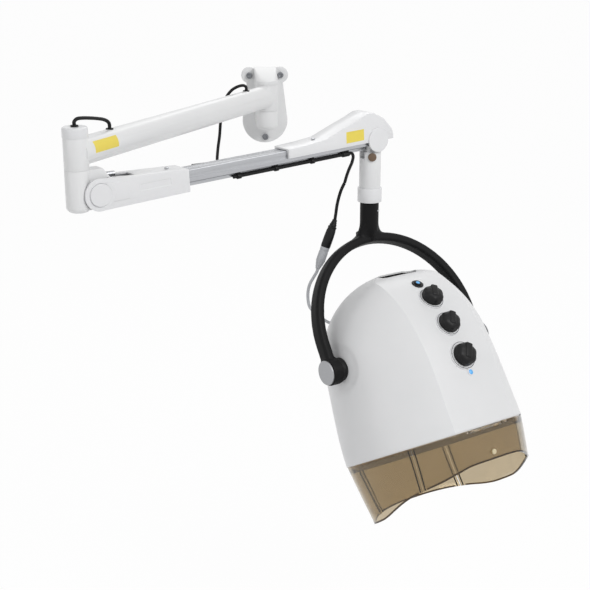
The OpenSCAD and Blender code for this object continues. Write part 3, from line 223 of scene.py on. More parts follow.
def coated(name, tone, shade, rough, skin_size=1.4, skin_depth=0.02, wear=0.0, **values):
    made = Finish(name, **values)
    drift = made.noise(70, 3.0)
    fine = made.noise(skin_size, 3.0)
    base = made.mixed(drift, tone, shade)
    if wear:
        edge = Wire(made, made.node("ShaderNodeNewGeometry").outputs["Pointiness"])
        rubbed = (edge > WORN_EDGE) * (made.noise(4, 4.0) > WORN_SPOT) * wear
        base = made.mixed(rubbed, base, BARE_METAL)
    made.colour(base)
    made.rough(rough + (made.noise(9, 4.0) - 0.5) * 0.14)
    made.bump(fine, skin_depth)
    return made.material


POWDER = coated("white_powder_paint", seen(234, 234, 234), seen(227, 228, 229), 0.36, 1.1, 0.03,
                Coat_Weight=0.25)
MOULDED = coated("white_moulding", seen(233, 233, 234), seen(226, 227, 229), 0.33, 0.7, 0.015,
                 Coat_Weight=0.3)
GLOSSY = coated("glossy_white_shell", seen(232, 232, 233), seen(226, 227, 228), 0.42, 2.5, 0.01,
                Coat_Weight=0.12)
BLACK_PAINT = coated("satin_black_paint", seen(17, 17, 18), seen(11, 11, 12), 0.52, 0.6, 0.03, wear=0.15,
                     Specular_IOR_Level=0.16)
BLACK_MOULD = coated("black_moulding", seen(20, 20, 21), seen(14, 14, 15), 0.45, 0.5, 0.03,
                     Specular_IOR_Level=0.25)
RUBBER = coated("black_rubber", seen(26, 26, 27), seen(18, 18, 19), 0.6, 0.35, 0.03, Specular_IOR_Level=0.2)
GREY_RUBBER = coated("grey_cord_jacket", seen(198, 200, 203), seen(182, 184, 188), 0.5, 0.35, 0.03)
GREY_MOULD = coated("grey_moulding", seen(188, 190, 193), seen(172, 174, 178), 0.42, 0.6, 0.03)
BROWN_RUBBER = coated("brown_rubber", seen(124, 103, 84), seen(96, 78, 62), 0.65, 0.8, 0.06)
DARK_MOULD = coated("dark_moulding", seen(82, 74, 64), seen(64, 57, 50), 0.45, 0.6, 0.03)
BOWL_MOULD = coated("bowl_moulding", seen(214, 214, 214), seen(202, 202, 203), 0.5, 1.0, 0.04)
IVORY = coated("ivory_moulding", seen(226, 212, 178), seen(212, 198, 162), 0.35, 0.6, 0.02)
BOARD_GREEN = coated("green_board", seen(38, 92, 58), seen(30, 76, 48), 0.45, 0.5, 0.03)
PLAIN_YELLOW = coated("plain_yellow_film", seen(240, 220, 96), seen(232, 210, 84), 0.5, 0.4, 0.01)
LINE_GREY = coated("printed_grey_line", seen(96, 98, 102), seen(80, 82, 86), 0.5, 0.4, 0.01)
print("coated finishes", len(bpy.data.materials))


# %% [markdown]
# Drawn metal shows hair-fine lines in the direction in which it was pulled or turned. The
# same noise does both jobs, stretched far along one axis and left alone across it.

# %% Finishes: metals
def drawn(name, tone, shade, rough, turned=0.0, stretch=60.0):
    made = Finish(name, Metallic=1.0)
    hair = made.noise(0.8, 2.0, "X", turned, stretch)
    made.colour(made.mixed(hair, tone, shade))
    made.rough(rough + (hair - 0.5) * 0.2)
    made.bump(hair, 0.012)
    return made.material


BEAM_METAL = drawn("drawn_aluminium", seen(198, 199, 202), seen(168, 170, 174), 0.3, ARM2_YAW)
SILVER = drawn("satin_silver", seen(180, 181, 183), seen(160, 161, 164), 0.46, 0.0, 4.0)
STEEL = drawn("plated_steel", seen(204, 205, 208), seen(164, 166, 170), 0.25, 0.0, 3.0)
DARK_STEEL = drawn("turned_steel", seen(150, 152, 156), seen(112, 114, 118), 0.3, 0.0, 3.0)
BRONZE = drawn("sintered_bronze", seen(206, 170, 112), seen(170, 134, 82), 0.4, 0.0, 2.0)
HOT_WIRE = drawn("heating_tube", seen(146, 120, 100), seen(110, 90, 78), 0.5, 0.0, 2.0)


# %% [markdown]
# The visor is clear smoked plastic: light goes through it and comes out brown. The tint
# sits in the base colour, and two walls in a row give the darker brown of the photograph.

# %% Finishes: smoked visor and lit lenses
def smoked(name, tone, shade):
    made = Finish(name, Transmission_Weight=1.0, IOR=1.45)
    made.colour(made.mixed(made.noise(90, 2.0), tone, shade))
    made.rough(0.03 + made.noise(14, 3.0) * 0.05)
    return made.material


def lit(name, glow, body, strength):
    made = Finish(name, Roughness=0.15, Emission_Strength=strength, Coat_Weight=0.5)
    cell = made.noise(1.6, 2.0)
    made.colour(made.mixed(cell, body, glow))
    made.put(made.shader.inputs["Emission Color"], made.mixed(cell, glow, body))
    return made.material


SMOKED = smoked("smoked_clear_plastic", seen(192, 177, 150), seen(184, 169, 142))
# Partly painted shade: the visor's rounded lower edge is real, but this much darker tint paints the shade that
# edge shows.
SMOKED_EDGE_SHADE = smoked("smoked_edge_painted_shade", seen(112, 94, 66), seen(96, 79, 54))
SMOKED_PALE = smoked("smoked_ring", seen(240, 233, 222), seen(234, 226, 214))
BLUE_LENS = lit("lit_blue_lens", seen(96, 176, 222), seen(40, 116, 184), 0.55)
print("finishes", len(bpy.data.materials))

# %% [markdown]
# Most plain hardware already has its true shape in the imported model, but a machined model
# has knife-sharp edges that no paint or moulding keeps. A copy is merged, its flat faces
# are joined and its sharp edges get a small bevel, and the copy then stands for the node.

# %% Making a piece out of a bmesh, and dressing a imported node
def body_of(node):
    return nodes[node]["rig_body"]


def made_piece(name, bm, place, material, body, stands_for=(), crease=32):
    bmesh.ops.transform(bm, matrix=place, verts=bm.verts)
    bmesh.ops.recalc_face_normals(bm, faces=bm.faces)
    for face in bm.faces:
        face.smooth = True
    for edge in bm.edges:
        edge.smooth = edge.calc_face_angle(0.0) < math.radians(crease)
    mesh = bpy.data.meshes.new(name)
    bm.to_mesh(mesh)
    bm.free()
    mesh.materials.append(material)
    piece = bpy.data.objects.new(name, mesh)
    bpy.context.scene.collection.objects.link(piece)
    if body:
        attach(piece, body)
    if stands_for:
        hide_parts(*stands_for)
    return piece


def soften(bm, offset, crease=30, segments=2):
    sharp = [e for e in bm.edges if e.is_manifold and e.calc_face_angle(0.0) > math.radians(crease)]
    bmesh.ops.bevel(bm, geom=sharp, offset=offset, segments=segments, affect="EDGES", profile=0.5,
                    material=-1, clamp_overlap=True)


def merged_copy(node):
    bm = bmesh.new()
    bm.from_mesh(nodes[node].data)
    bmesh.ops.remove_doubles(bm, verts=bm.verts, dist=0.002 * MM)
    return bm


def add_to(target, bm, place):
    """The faces of one bmesh, carried to their place in another."""
    bmesh.ops.transform(bm, matrix=place, verts=bm.verts)
    mesh = bpy.data.meshes.new("added")
    bm.to_mesh(mesh)
    bm.free()
    target.from_mesh(mesh)
    bpy.data.meshes.remove(mesh)


def dressed(node, material, offset):
    bm = merged_copy(node)
    bmesh.ops.dissolve_limit(bm, angle_limit=math.radians(0.8), verts=bm.verts, edges=bm.edges)
    soften(bm, offset * MM)
    return made_piece(node + "_dressed", bm, Matrix(), material, body_of(node), (node,))


# %% [markdown]
# A turned piece is a profile spun about its own axis: caps, dials, plugs and rings. Spin
# makes them exactly round with few steps, which a cylinder with edits would not.

# %% Turned pieces
def lathe(profile, steps=64):
    bm = bmesh.new()
    ring = [bm.verts.new((radius, 0, height)) for radius, height in profile]
    line = [bm.edges.new(pair) for pair in zip(ring, ring[1:])]
    bmesh.ops.spin(bm, geom=ring + line, cent=(0, 0, 0), axis=(0, 0, 1), dvec=(0, 0, 0),
                   angle=2 * math.pi, steps=steps, use_merge=True)
    bmesh.ops.remove_doubles(bm, verts=bm.verts, dist=0.001)
    return bm


# %% [markdown]
# Cords come before the looks of anything else, since they decide whether the model fits on
# a shelf. Each follows its route's points on one smooth curve and is swept as a round tube.
# A cord that crosses a joint rides on no body.

# %% Cords: routes, smooth curve and tube
LOOP_ROUTE = [(0, 0, 48), (0, 0, 54), (-8, 1, 58), (-24, 2, 57), (-44, 2, 54), (-66, 2, 50), (-88, 1, 45),
              (-103, 0, 39), (-108, 0, 33), (-108, 0, 26)]
MAINS_ROUTE = [(100, 0, 26), (100, 0, 33), (104, -5, 37), (112, -14, 35), (121, -24, 28), (130, -32, 15),
               (137, -37, 0), (142, -39, -18), (146, -40, -42), (149, -41, -68), (155, -42, -92),
               (164, -40, -116), (172, -35, -134), (173, -30, -146), (166, -27, -150), (157, -22, -150),
               (150, -18, -150)]
UPPER_ROUTE = [(560, -11.5, -20), (567, -11.5, -20), (571, -12, -27), (567, -12.5, -39), (559, -13, -51),
               (553, -12, -64), (549, -10, -78)]
LOWER_ROUTE = [(-73.3, -9.5, -83.1), (-75, -7, -89), (-77, -3, -99), (-78, 3, -115), (-77, 10, -133),
               (-74, 17, -150), (-73, 20, -157), (-73, 21, -164)]
GREY_ROUTE = [(-112, 28, -264), (-114, 28.5, -271), (-121, 31, -283), (-128, 34, -297), (-131, 36, -317),
              (-127, 38, -341), (-117, 40, -356), (-105, 40, -368), (-93, 37, -378), (-83, 31, -386),
              (-77, 22, -389), (-75, 13.5, -386), (-75, 7, -382)]
CORD_D = 6.5


def smooth_route(points, steps):
    points = [Vector(p) for p in points]
    last = len(points) - 1
    line = []
    for i in range(last):
        a, b, c, d = points[max(i - 1, 0)], points[i], points[i + 1], points[min(i + 2, last)]
        for k in range(steps):
            t = k / steps
            line.append((2 * b + (c - a) * t + (2 * a - 5 * b + 4 * c - d) * t * t
                         + (3 * b - a - 3 * c + d) * t ** 3) / 2)
    return line + [points[last]]


def tube(name, line, material, body=None, stands_for=(), diameter=CORD_D, sides=3):
    """A mesh tube along points that are already in metres."""
    curve = bpy.data.curves.new(name + "_line", "CURVE")
    curve.dimensions = "3D"
    curve.bevel_depth, curve.bevel_resolution, curve.use_fill_caps = diameter * MM / 2, sides, True
    path = curve.splines.new("POLY")
    path.points.add(len(line) - 1)
    for point, place in zip(path.points, line):
        point.co = (*place, 1)
    swept = bpy.data.objects.new(name + "_sweep", curve)
    bpy.context.scene.collection.objects.link(swept)
    bm = bmesh.new()
    bm.from_mesh(bpy.data.meshes.new_from_object(swept))
    bpy.data.objects.remove(swept)
    bmesh.ops.remove_doubles(bm, verts=bm.verts, dist=0.001 * MM)
    return made_piece(name, bm, Matrix(), material, body, stands_for, 60)


def length_of(line):
    return sum((b - a).length for a, b in zip(line, line[1:]))


def world(points, place):
    return [place @ Vector(p) for p in points]


# %% [markdown]
# The mains lead ends in a tied hank behind the arm. One turn of the hank is two half rounds
# and two straight runs that a tie pulls together at the waist, and each turn lies a little
# further out or in than the one before it, so that no two of them share a place.

# %% The mains lead and its hank
HANK_RUN, HANK_R, HANK_STEP, HANK_WAIST, HANK_TURNS, HANK_YAW, RING = 95, 27, 7.2, 8, 4, 150.7, 24


def hank_point(i):
    n = i / RING
    k = i - RING * math.floor(n)
    r = HANK_R - HANK_STEP * (HANK_TURNS / 2 - abs(n - HANK_TURNS / 2))
    q, s, run = RING / 3, RING / 6, HANK_RUN

    def waist(x):
        return HANK_WAIST * (1 + math.cos(math.radians(min(180, abs(x) * 360 / run)))) / 2

    if k < q:
        a = math.radians(180 * k / q - 90)
        x, y = run / 2 + r * math.cos(a), r * math.sin(a)
    elif k < q + s:
        x = run / 2 - run * (k - q) / s
        y = r - waist(x)
    elif k < 2 * q + s:
        a = math.radians(180 * (k - q - s) / q + 90)
        x, y = -run / 2 + r * math.cos(a), r * math.sin(a)
    else:
        x = -run / 2 + run * (k - 2 * q - s) / s
        y = waist(x) - r
    t = max(0, min(1, (n - HANK_TURNS / 2) * 3 + 0.5))
    return Vector((x, y, HANK_STEP * t * t * (3 - 2 * t)))


first, last = -RING // 6, HANK_TURNS * RING - RING // 2
rings = [hank_point(first + i) for i in range(last - first + 1)]
hank_line = [rings[0] - Vector((CORD_D, 0, 0)), *rings, rings[-1] - Vector((CORD_D, 0, 0))]
HANK = ARM1 @ shift(*MAINS_ROUTE[-1]) @ turn("Z", HANK_YAW) @ Matrix.Translation(-hank_line[0])
mains_line = world(smooth_route(MAINS_ROUTE, 4), ARM1) + world(hank_line[1:], HANK)
mains = tube("mains_cord", mains_line, RUBBER, "first_arm", ("mains_lead", "mains_hank"))
plug = dressed("mains_plug", BLACK_MOULD, 2.0)
tie = dressed("hank_tie", BLACK_MOULD, 0.4)
length_of(mains_line)
print("mains cord", round(length_of(mains_line), 3), "m")

# %% [markdown]
# The two halves of the connector are turned pieces with rounded shoulders and a ribbed
# grip. They lie on the straight line between the ends of the black and the grey cord.

# %% Connector and grey plug
socket_a, plug_b = FRONT @ Vector(LOWER_ROUTE[-1]), FRONT @ Vector(GREY_ROUTE[0])
gap = (plug_b - socket_a).length / MM
along_gap = (plug_b - socket_a).to_track_quat("Z", "Y").to_matrix().to_4x4()
SPAN = Matrix.Translation(socket_a) @ along_gap @ Matrix.Scale(MM, 4)
half, relief = gap * 0.56, gap * 0.16
black_profile = [(0, 0), (4.6, 0), (5.2, 3), (5.0, 5), (6.2, 7), (6.0, 9), (7.4, 11), (7.2, relief - 3),
                 (9, relief - 1.5), (9, relief + 1), (8.4, relief + 2), (9.6, relief + 9), (10, relief + 20),
                 (10, half - 2), (9.3, half), (0, half)]
black_socket = made_piece("black_socket", lathe(black_profile), SPAN, BLACK_MOULD, "fork",
                          ("cord_socket",), 40)
grey_profile = [(0, half), (9.2, half), (9.5, half + 1.5), (9.5, half + 6), (9, half + 7), (9, half + 9),
                (9.5, half + 10), (9.5, gap - relief), (8.4, gap - relief + 3), (7.4, gap - 9), (6.2, gap - 7),
                (6.4, gap - 5), (5.2, gap - 3), (5, gap), (0, gap)]
grey_plug_body = made_piece("grey_plug_body", lathe(grey_profile), SPAN, GREY_MOULD, "fork",
                            ("grey_plug",), 40)

# %% [markdown]
# The loop over the post keeps its shape, so it rides on the arm. Each short lead crosses a
# joint and rides on none of the bodies. Riding on one of them would pull its other end out of
# its seat.

# %% The loop over the post, and the three short leads down to the hood
loop_line = world(smooth_route(LOOP_ROUTE, 4), ELBOW @ turn("Z", ARM1_YAW - ARM2_YAW))
loop = tube("loop_cord_jacket", loop_line, RUBBER, "first_arm", ("loop_cord",))
length_of(loop_line)


def crossing(name, route, place, material, stands_for):
    line = world(smooth_route(route, 5), place)
    piece = tube(name, line, material, None, stands_for)
    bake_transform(piece)
    length_of(line)
    print(name, round(length_of(line), 3), "m")


crossing("upper_cord", UPPER_ROUTE, ARM2, RUBBER, ("upper_lead",))
crossing("lower_cord", LOWER_ROUTE, FRONT, RUBBER, ("lower_lead",))
crossing("grey_cord", GREY_ROUTE, FRONT, GREY_RUBBER, ("grey_lead",))

# %% [markdown]
# The plain hardware: one call for each node, with the width of its edge rounding. Castings
# are rounder than turned pieces, and thin sheet gets the least.

# %% Arms, covers, pins and fittings
for node, material, offset in (
        ("wall_plate", POWDER, 1.6), ("wall_screws", DARK_STEEL, 0.4), ("first_arm_tube", POWDER, 0.6),
        ("post_cap", MOULDED, 0.4), ("cord_grommets", RUBBER, 0.4), ("elbow_knuckle", POWDER, 0.8),
        ("arm_beam", BEAM_METAL, 0.4), ("front_cover", MOULDED, 1.1), ("pivot_caps", MOULDED, 0.4),
        ("cover_screws", STEEL, 0.5), ("link_bar", BEAM_METAL, 0.5), ("front_tube", POWDER, 0.6),
        ("bump_stop", BROWN_RUBBER, 0.8), ("stem_collar", MOULDED, 0.8), ("stem_screw", STEEL, 0.4),
        ("hub_caps", SILVER, 0.4), ("cable_gland", BLACK_MOULD, 0.3), ("cable_inlet", GREY_MOULD, 0.8),
        ("top_vent", BLACK_MOULD, 0.5), ("visor_grip", IVORY, 0.5), ("rim_ring", SMOKED_PALE, 0.4),
        ("inner_bowl", BOWL_MOULD, 0.4), ("tilt_pins", BLACK_MOULD, 0.5)):
    dressed(node, material, offset)

# %% [markdown]
# Pins, bushes and what lies inside the hood are good enough as packed. They get a finish
# and nothing else.

# %% Nodes that stay as they are, with a finish
for names, material in (
        (("wall_pivot_pin", "elbow_spindle", "rear_link_pin", "arm_pins", "front_link_pin"), DARK_STEEL),
        (("wall_bushes", "elbow_bushes"), BRONZE), (("spring_anchor", "balance_spring", "motor"), STEEL),
        (("arm_cable",), RUBBER), (("heater",), HOT_WIRE), (("circuit_board",), BOARD_GREEN),
        (("fan_wheel",), DARK_MOULD), (("visor_hinge_rod",), SMOKED_PALE)):
    for name in names:
        nodes[name].data.materials.clear()
        nodes[name].data.materials.append(material)

# %% [markdown]
# The elbow cover has a raised plain pad on each side and a long shallow channel beside it.
# The channel is cut with a boolean into the rounded copy of the cover, because an inset
# would need a face of just that outline to start from.

# %% Elbow cover with its channel
def carve(piece, cutter):
    cut = piece.modifiers.new("carve", "BOOLEAN")
    cut.operation, cut.object, cut.solver = "DIFFERENCE", cutter, "EXACT"
    ready = bpy.data.meshes.new_from_object(piece.evaluated_get(bpy.context.evaluated_depsgraph_get()))
    piece.modifiers.clear()
    piece.data = ready
    bpy.data.objects.remove(cutter)


def loose(name, bm, place):
    bmesh.ops.transform(bm, matrix=place, verts=bm.verts)
    bmesh.ops.recalc_face_normals(bm, faces=bm.faces)
    mesh = bpy.data.meshes.new(name)
    bm.to_mesh(mesh)
    bm.free()
    piece = bpy.data.objects.new(name, mesh)
    bpy.context.scene.collection.objects.link(piece)
    return piece


def block(size, centre):
    bm = bmesh.new()
    bmesh.ops.create_cube(bm, size=1, matrix=Matrix.Translation(Vector(centre)) @ Matrix.Diagonal((*size, 1)))
    return bm


COVER_Y = 25
CHANNEL, CHANNEL_X, CHANNEL_OUT, CHANNEL_Z = (64, 3, 13), 112, 0.7, -1
PAD, PAD_X, PAD_OUT, PAD_Z = (44, 2, 34), 36, 0.6, 1
cover = dressed("elbow_cover", MOULDED, 0.9)
for side in (-1, 1):
    channel = block(CHANNEL, (CHANNEL_X, side * (COVER_Y + CHANNEL_OUT), CHANNEL_Z))
    soften(channel, 1.2)
    carve(cover, loose("channel_cutter", channel, ARM2))
    pad = block(PAD, (PAD_X, side * (COVER_Y + PAD_OUT), PAD_Z))
    soften(pad, 0.9, segments=3)
    made_piece("elbow_pad_" + ("front" if side < 0 else "back"), pad, ARM2, MOULDED, "second_arm")

# %% [markdown]
# Two plain yellow patches sit on the white surfaces. Nothing is printed on them. The one
# on the tube is a thin grid bent round the tube, the other is flat on the cover.

# %% Plain yellow patches
PATCH_X0, PATCH_X1, PATCH_A0, PATCH_A1, PATCH_R, PATCH_T = 646.5, 720.5, -7.0, 42.0, 25.05, 0.2
FLAT_L, FLAT_H, FLAT_X, FLAT_Z = 44.4, 22.5, 567.6, 16
patch = bmesh.new()
bmesh.ops.create_grid(patch, x_segments=12, y_segments=16, size=1)
for vert in patch.verts:
    x = PATCH_X0 + (PATCH_X1 - PATCH_X0) * (vert.co.x + 1) / 2
    a = math.radians(PATCH_A0 + (PATCH_A1 - PATCH_A0) * (vert.co.y + 1) / 2)
    vert.co = (x, PATCH_R * math.cos(a), PATCH_R * math.sin(a))
bmesh.ops.solidify(patch, geom=patch.faces, thickness=-PATCH_T)
made_piece("tube_patch", patch, ARM1, PLAIN_YELLOW, "first_arm")
patch = block((FLAT_L, PATCH_T, FLAT_H), (FLAT_X, -COVER_Y - PATCH_T / 2, FLAT_Z))
made_piece("cover_patch", patch, ARM2, PLAIN_YELLOW, "second_arm")

# %% [markdown]
# The fork is one casting whose stem flows into the bow. A flare, a stack of ellipses that
# widen towards the bow, is added at the stem's foot. The whole is then rebuilt on a fine
# voxel grid, which fuses stem, flare, bow and hubs, and smoothing draws soft fillets where
# they meet. Beveling could not do this, because those edges are not there to bevel.

# %% Fork
FLARE_R, FLARE_WIDEN, FLARE_BEND, FLARE_THIN, FLARE_TOP, FLARE_RUN, FLARE_STEPS = 19.3, 32, 0.96, 6, 46, 42, 9
VOXEL, SMOOTHINGS = 1.8, 7


def ellipse_ring(bm, wide, deep, height, count=40):
    angles = [2 * math.pi * k / count for k in range(count)]
    return [bm.verts.new((wide * math.cos(a), deep * math.sin(a), height)) for a in angles]


flare = bmesh.new()
loops = []
for step in range(FLARE_STEPS + 1):
    t = step / FLARE_STEPS
    wide = FLARE_R + FLARE_WIDEN * (1 - math.sqrt(1 - FLARE_BEND * t * t))
    loops.append(ellipse_ring(flare, wide, FLARE_R - FLARE_THIN * t, FLARE_TOP - FLARE_RUN * t - CROWN))
for upper, lower in zip(loops, loops[1:]):
    for k in range(len(upper)):
        flare.faces.new((upper[k - 1], upper[k], lower[k], lower[k - 1]))
flare.faces.new(loops[0])
flare.faces.new(loops[-1])
bmesh.ops.recalc_face_normals(flare, faces=flare.faces)
fork_bm = merged_copy("yoke")
add_to(fork_bm, flare, FRONT)
fork = made_piece("fork_casting", fork_bm, Matrix(), BLACK_PAINT, None)
voxels = fork.modifiers.new("voxels", "REMESH")
voxels.mode, voxels.voxel_size = "VOXEL", VOXEL * MM
fused = bpy.data.meshes.new_from_object(fork.evaluated_get(bpy.context.evaluated_depsgraph_get()))
bpy.data.objects.remove(fork)
fork_bm = bmesh.new()
fork_bm.from_mesh(fused)
for step in range(SMOOTHINGS):
    bmesh.ops.smooth_vert(fork_bm, verts=fork_bm.verts, factor=0.5, use_axis_x=True, use_axis_y=True,
                          use_axis_z=True)
made_piece("fork_casting", fork_bm, Matrix(), BLACK_PAINT, "fork", ("yoke",), 70)

# %% [markdown]
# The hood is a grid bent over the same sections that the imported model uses: a flat strip
# down the front, full cheeks and a rounded back. A grid gives far more faces than the
# packed dome has, so reflections run over it without facets.

# %% Sections of the hood
HALF_W, RIM_W, FRONT_P, REAR_P, TOP, RIM, VISOR = 176, 191, 166, 155, 165, 188, 123
STRIP, STRIP_SINK, SIDE_BACK = 78, 5, 8
STRIP_U, SIDE_U, QUARTER_U, SIDE_ROUND = 0.2, 0.6, 0.4, 2.3
FRONT_TURN, FRONT_ROUND, FRONT_OUT = 110, 2.15, 4
REAR_TURN, REAR_IN = 100, 5
SIDE_TAPER, FRONT_TAPER, TAPER_BEND, REAR_TAPER = 0.08, 0.26, 1.3, 0.03


def ease(t):
    t = max(0.0, min(1.0, t))
    return t * t * (3 - 2 * t)


def half_width(q):
    if q > 0:
        return HALF_W * math.sqrt(max(0, 1 - (q / TOP) ** 2))
    return HALF_W + (RIM_W - HALF_W) * ease(-q / RIM)


def front_reach(q):
    if q > -FRONT_TURN:
        height = (q + FRONT_TURN) / (TOP + FRONT_TURN)
        return FRONT_P * max(0, 1 - height ** FRONT_ROUND) ** (1 / FRONT_ROUND)
    return FRONT_P + FRONT_OUT * ((-FRONT_TURN - q) / (RIM - FRONT_TURN)) ** 2


def rear_reach(q):
    if q > -REAR_TURN:
        return REAR_P * math.sqrt(max(0, 1 - ((q + REAR_TURN) / (TOP + REAR_TURN)) ** 2))
    return REAR_P - REAR_IN * ((-REAR_TURN - q) / (RIM - REAR_TURN)) ** 2


def half_section(u, w, f, r):
    """One half of a level section, from the middle of the front (0) to the middle of the back (1)."""
    narrowed = min(1, w / HALF_W)
    s, b, m = min(STRIP, w * 0.9), STRIP_SINK * narrowed, -SIDE_BACK * narrowed
    if u <= STRIP_U:
        t = u / STRIP_U
        return s * t, f - b * t * t
    if u <= SIDE_U:
        t, g = (u - STRIP_U) / QUARTER_U, f - b
        return ((1 - t) ** 2 * s + 2 * t * (1 - t) * w * 0.97 + t * t * w,
                (1 - t) ** 2 * g + 2 * t * (1 - t) * (m + (g - m) * 0.62) + t * t * m)
    a = math.radians(min(90, 90 * (u - SIDE_U) / QUARTER_U))
    return w * max(0, math.cos(a)) ** (2 / SIDE_ROUND), m - (m + r) * math.sin(a) ** (2 / SIDE_ROUND)


def skin(u, q, inset=0.0):
    """A point of the hood's outer skin, or of the visor's where q is below the rim."""
    d = max(0.0, min(1.0, (-RIM - q) / VISOR))
    qq = min(q * TOP / (TOP - inset), TOP - 0.01) if q > 0 else q
    x, p = half_section(abs(u), max(half_width(qq) * (1 - SIDE_TAPER * d) - inset, 0.01),
                        max(front_reach(qq) * (1 - FRONT_TAPER * d ** TAPER_BEND) - inset, 0.01),
                        max(rear_reach(qq) * (1 - REAR_TAPER * d) - inset, 0.01))
    return Vector((math.copysign(x, u), -p, q))


# %% [markdown]
# Half of the grid's rows climb the straight lower part and half close the crown. Each side
# gets a shallow round dent where the hub stands off, then the wall is added, and the slot
# of the vent is cut with two circles pulled into one outline.

# %% Hood shell
LEVELS, ROUND, CROWN_SHARE, SHELL_WALL = 96, 200, 0.5, 3
DENT, DENT_R, DENT_SOFT, DENT_FROM = 1.6, 50, 8, 120
VENT_X, VENT_R, VENT_Z, VENT_DEEP, VENT_AT, VENT_LEAN = 33, 17, -12, 60, (0, -42, 148), 14
shell_bm = bmesh.new()
bmesh.ops.create_grid(shell_bm, x_segments=ROUND, y_segments=LEVELS, size=1)
for vert in shell_bm.verts:
    u, t = vert.co.x, (vert.co.y + 1) / 2
    if t > 1 - 0.5 / LEVELS:
        vert.co = (0, 0, TOP)
        continue
    if t < CROWN_SHARE:
        q = -RIM * (1 - t / CROWN_SHARE)
    else:
        q = TOP * math.sin(math.pi / 2 * (t - CROWN_SHARE) / (1 - CROWN_SHARE))
    place = skin(u, q)
    if abs(place.x) > DENT_FROM:
        dent = DENT * ease((DENT_R - math.hypot(place.y, place.z)) / DENT_SOFT)
        place.x -= math.copysign(dent, place.x)
    vert.co = place
bmesh.ops.remove_doubles(shell_bm, verts=shell_bm.verts, dist=0.01)
shell = made_piece("hood_shell_moulding", shell_bm, HOOD, GLOSSY, "hood", ("hood_shell",), 16)
wall = shell.modifiers.new("wall", "SOLIDIFY")
wall.thickness, wall.offset = SHELL_WALL * MM, -1
stadium = bmesh.new()
for x in (-VENT_X, VENT_X):
    bmesh.ops.create_circle(stadium, cap_ends=False, radius=VENT_R, segments=48, matrix=shift(x, 0, VENT_Z))
outline = bmesh.ops.convex_hull(stadium, input=stadium.verts)
inner = [g for g in outline["geom_interior"] if isinstance(g, bmesh.types.BMVert)]
bmesh.ops.delete(stadium, geom=inner, context="VERTS")
bmesh.ops.dissolve_limit(stadium, angle_limit=math.radians(1), verts=stadium.verts, edges=stadium.edges)
lifted = bmesh.ops.extrude_face_region(stadium, geom=list(stadium.faces))
upper = [g for g in lifted["geom"] if isinstance(g, bmesh.types.BMVert)]
bmesh.ops.translate(stadium, vec=(0, 0, VENT_DEEP), verts=upper)
carve(shell, loose("vent_cutter", stadium, HOOD @ shift(*VENT_AT) @ turn("X", VENT_LEAN)))
print("shell faces", len(shell.data.polygons))


# %% [markdown]
# The visor is four clear panels set edge to edge under the rim. Each is a grid between two
# places round the rim, given its wall by solidify. Just above its lower edge the panel comes
# out to the full section, a step of less than a millimetre.

# %% Visor panels
EDGE_REACH, EDGE_STEP, EDGE_SPAN = 170, 0.015, 3
NOTCH_U, NOTCH_SOFT, LIP, LIP_FROM, LIP_RUN, PANEL_WALL = 0.145, 0.01, 0.9, 0.93, 0.07, 3
# The lower edge: a place from the back (-1) to the front (1), and a share of the visor's height.
EDGE = [(-1, 0.8), (-0.88, 0.83), (-0.48, 1), (0, 0.96), (0.47, 0.73), (0.88, 0.63), (0.99, 0.54)]


def edge_q(u):
    place = -skin(u, -RIM).y / EDGE_REACH
    pairs = list(zip(EDGE, EDGE[1:]))
    if place <= EDGE[0][0]:
        return -RIM - VISOR * EDGE[0][1]
    if place >= EDGE[-1][0]:
        return -RIM - VISOR * EDGE[-1][1]
    (x0, y0), (x1, y1) = next(p for p in pairs if p[0][0] <= place <= p[1][0])
    return -RIM - VISOR * (y0 + (y1 - y0) * (place - x0) / (x1 - x0))


def smooth_edge(u):
    spots = [((u + k * EDGE_STEP + 1) % 2) - 1 for k in range(-EDGE_SPAN, EDGE_SPAN + 1)]
    return sum(edge_q(spot) for spot in spots) / len(spots)


def panel(name, u0, u1, across, gap_top, notch, body, node):
    bm = bmesh.new()
    bmesh.ops.create_grid(bm, x_segments=across, y_segments=24, size=1)
    for vert in bm.verts:
        u = u0 + (u1 - u0) * (vert.co.x + 1) / 2
        u = u - 2 if u > 1 else u
        t = 1 - (vert.co.y + 1) / 2
        top = -RIM - gap_top - notch * ease((NOTCH_U - abs(u)) / NOTCH_SOFT)
        inset = LIP - LIP * ease((t - LIP_FROM) / LIP_RUN)
        vert.co = skin(u, top + (smooth_edge(u) - top) * t, inset)
    bmesh.ops.recalc_face_normals(bm, faces=bm.faces)
    middle = min(bm.faces, key=lambda f: abs(f.calc_center_median().x))
    outward = middle.calc_center_median() * Vector((1, 1, 0))
    if middle.normal.dot(outward) < 0:
        bmesh.ops.reverse_faces(bm, faces=bm.faces)
    bmesh.ops.solidify(bm, geom=bm.faces, thickness=PANEL_WALL)
    return made_piece(name, bm, HOOD, SMOKED, body, (node,) if node else (), 40)


SEAM_F, SEAM_R, SLIT = 0.36, 0.84, 0.0015
panel("visor_front", -SEAM_F + SLIT, SEAM_F - SLIT, 66, 2, 4.05, "visor_flap", "front_visor")
panel("visor_rear", SEAM_R + SLIT, 2 - SEAM_R - SLIT, 40, 0.3, 0, "hood", "rear_visor")
panel("visor_left", -SEAM_R + SLIT, -SEAM_F - SLIT, 40, 0.3, 0, "hood", "side_visors")
panel("visor_right", SEAM_F + SLIT, SEAM_R - SLIT, 40, 0.3, 0, "hood", None)
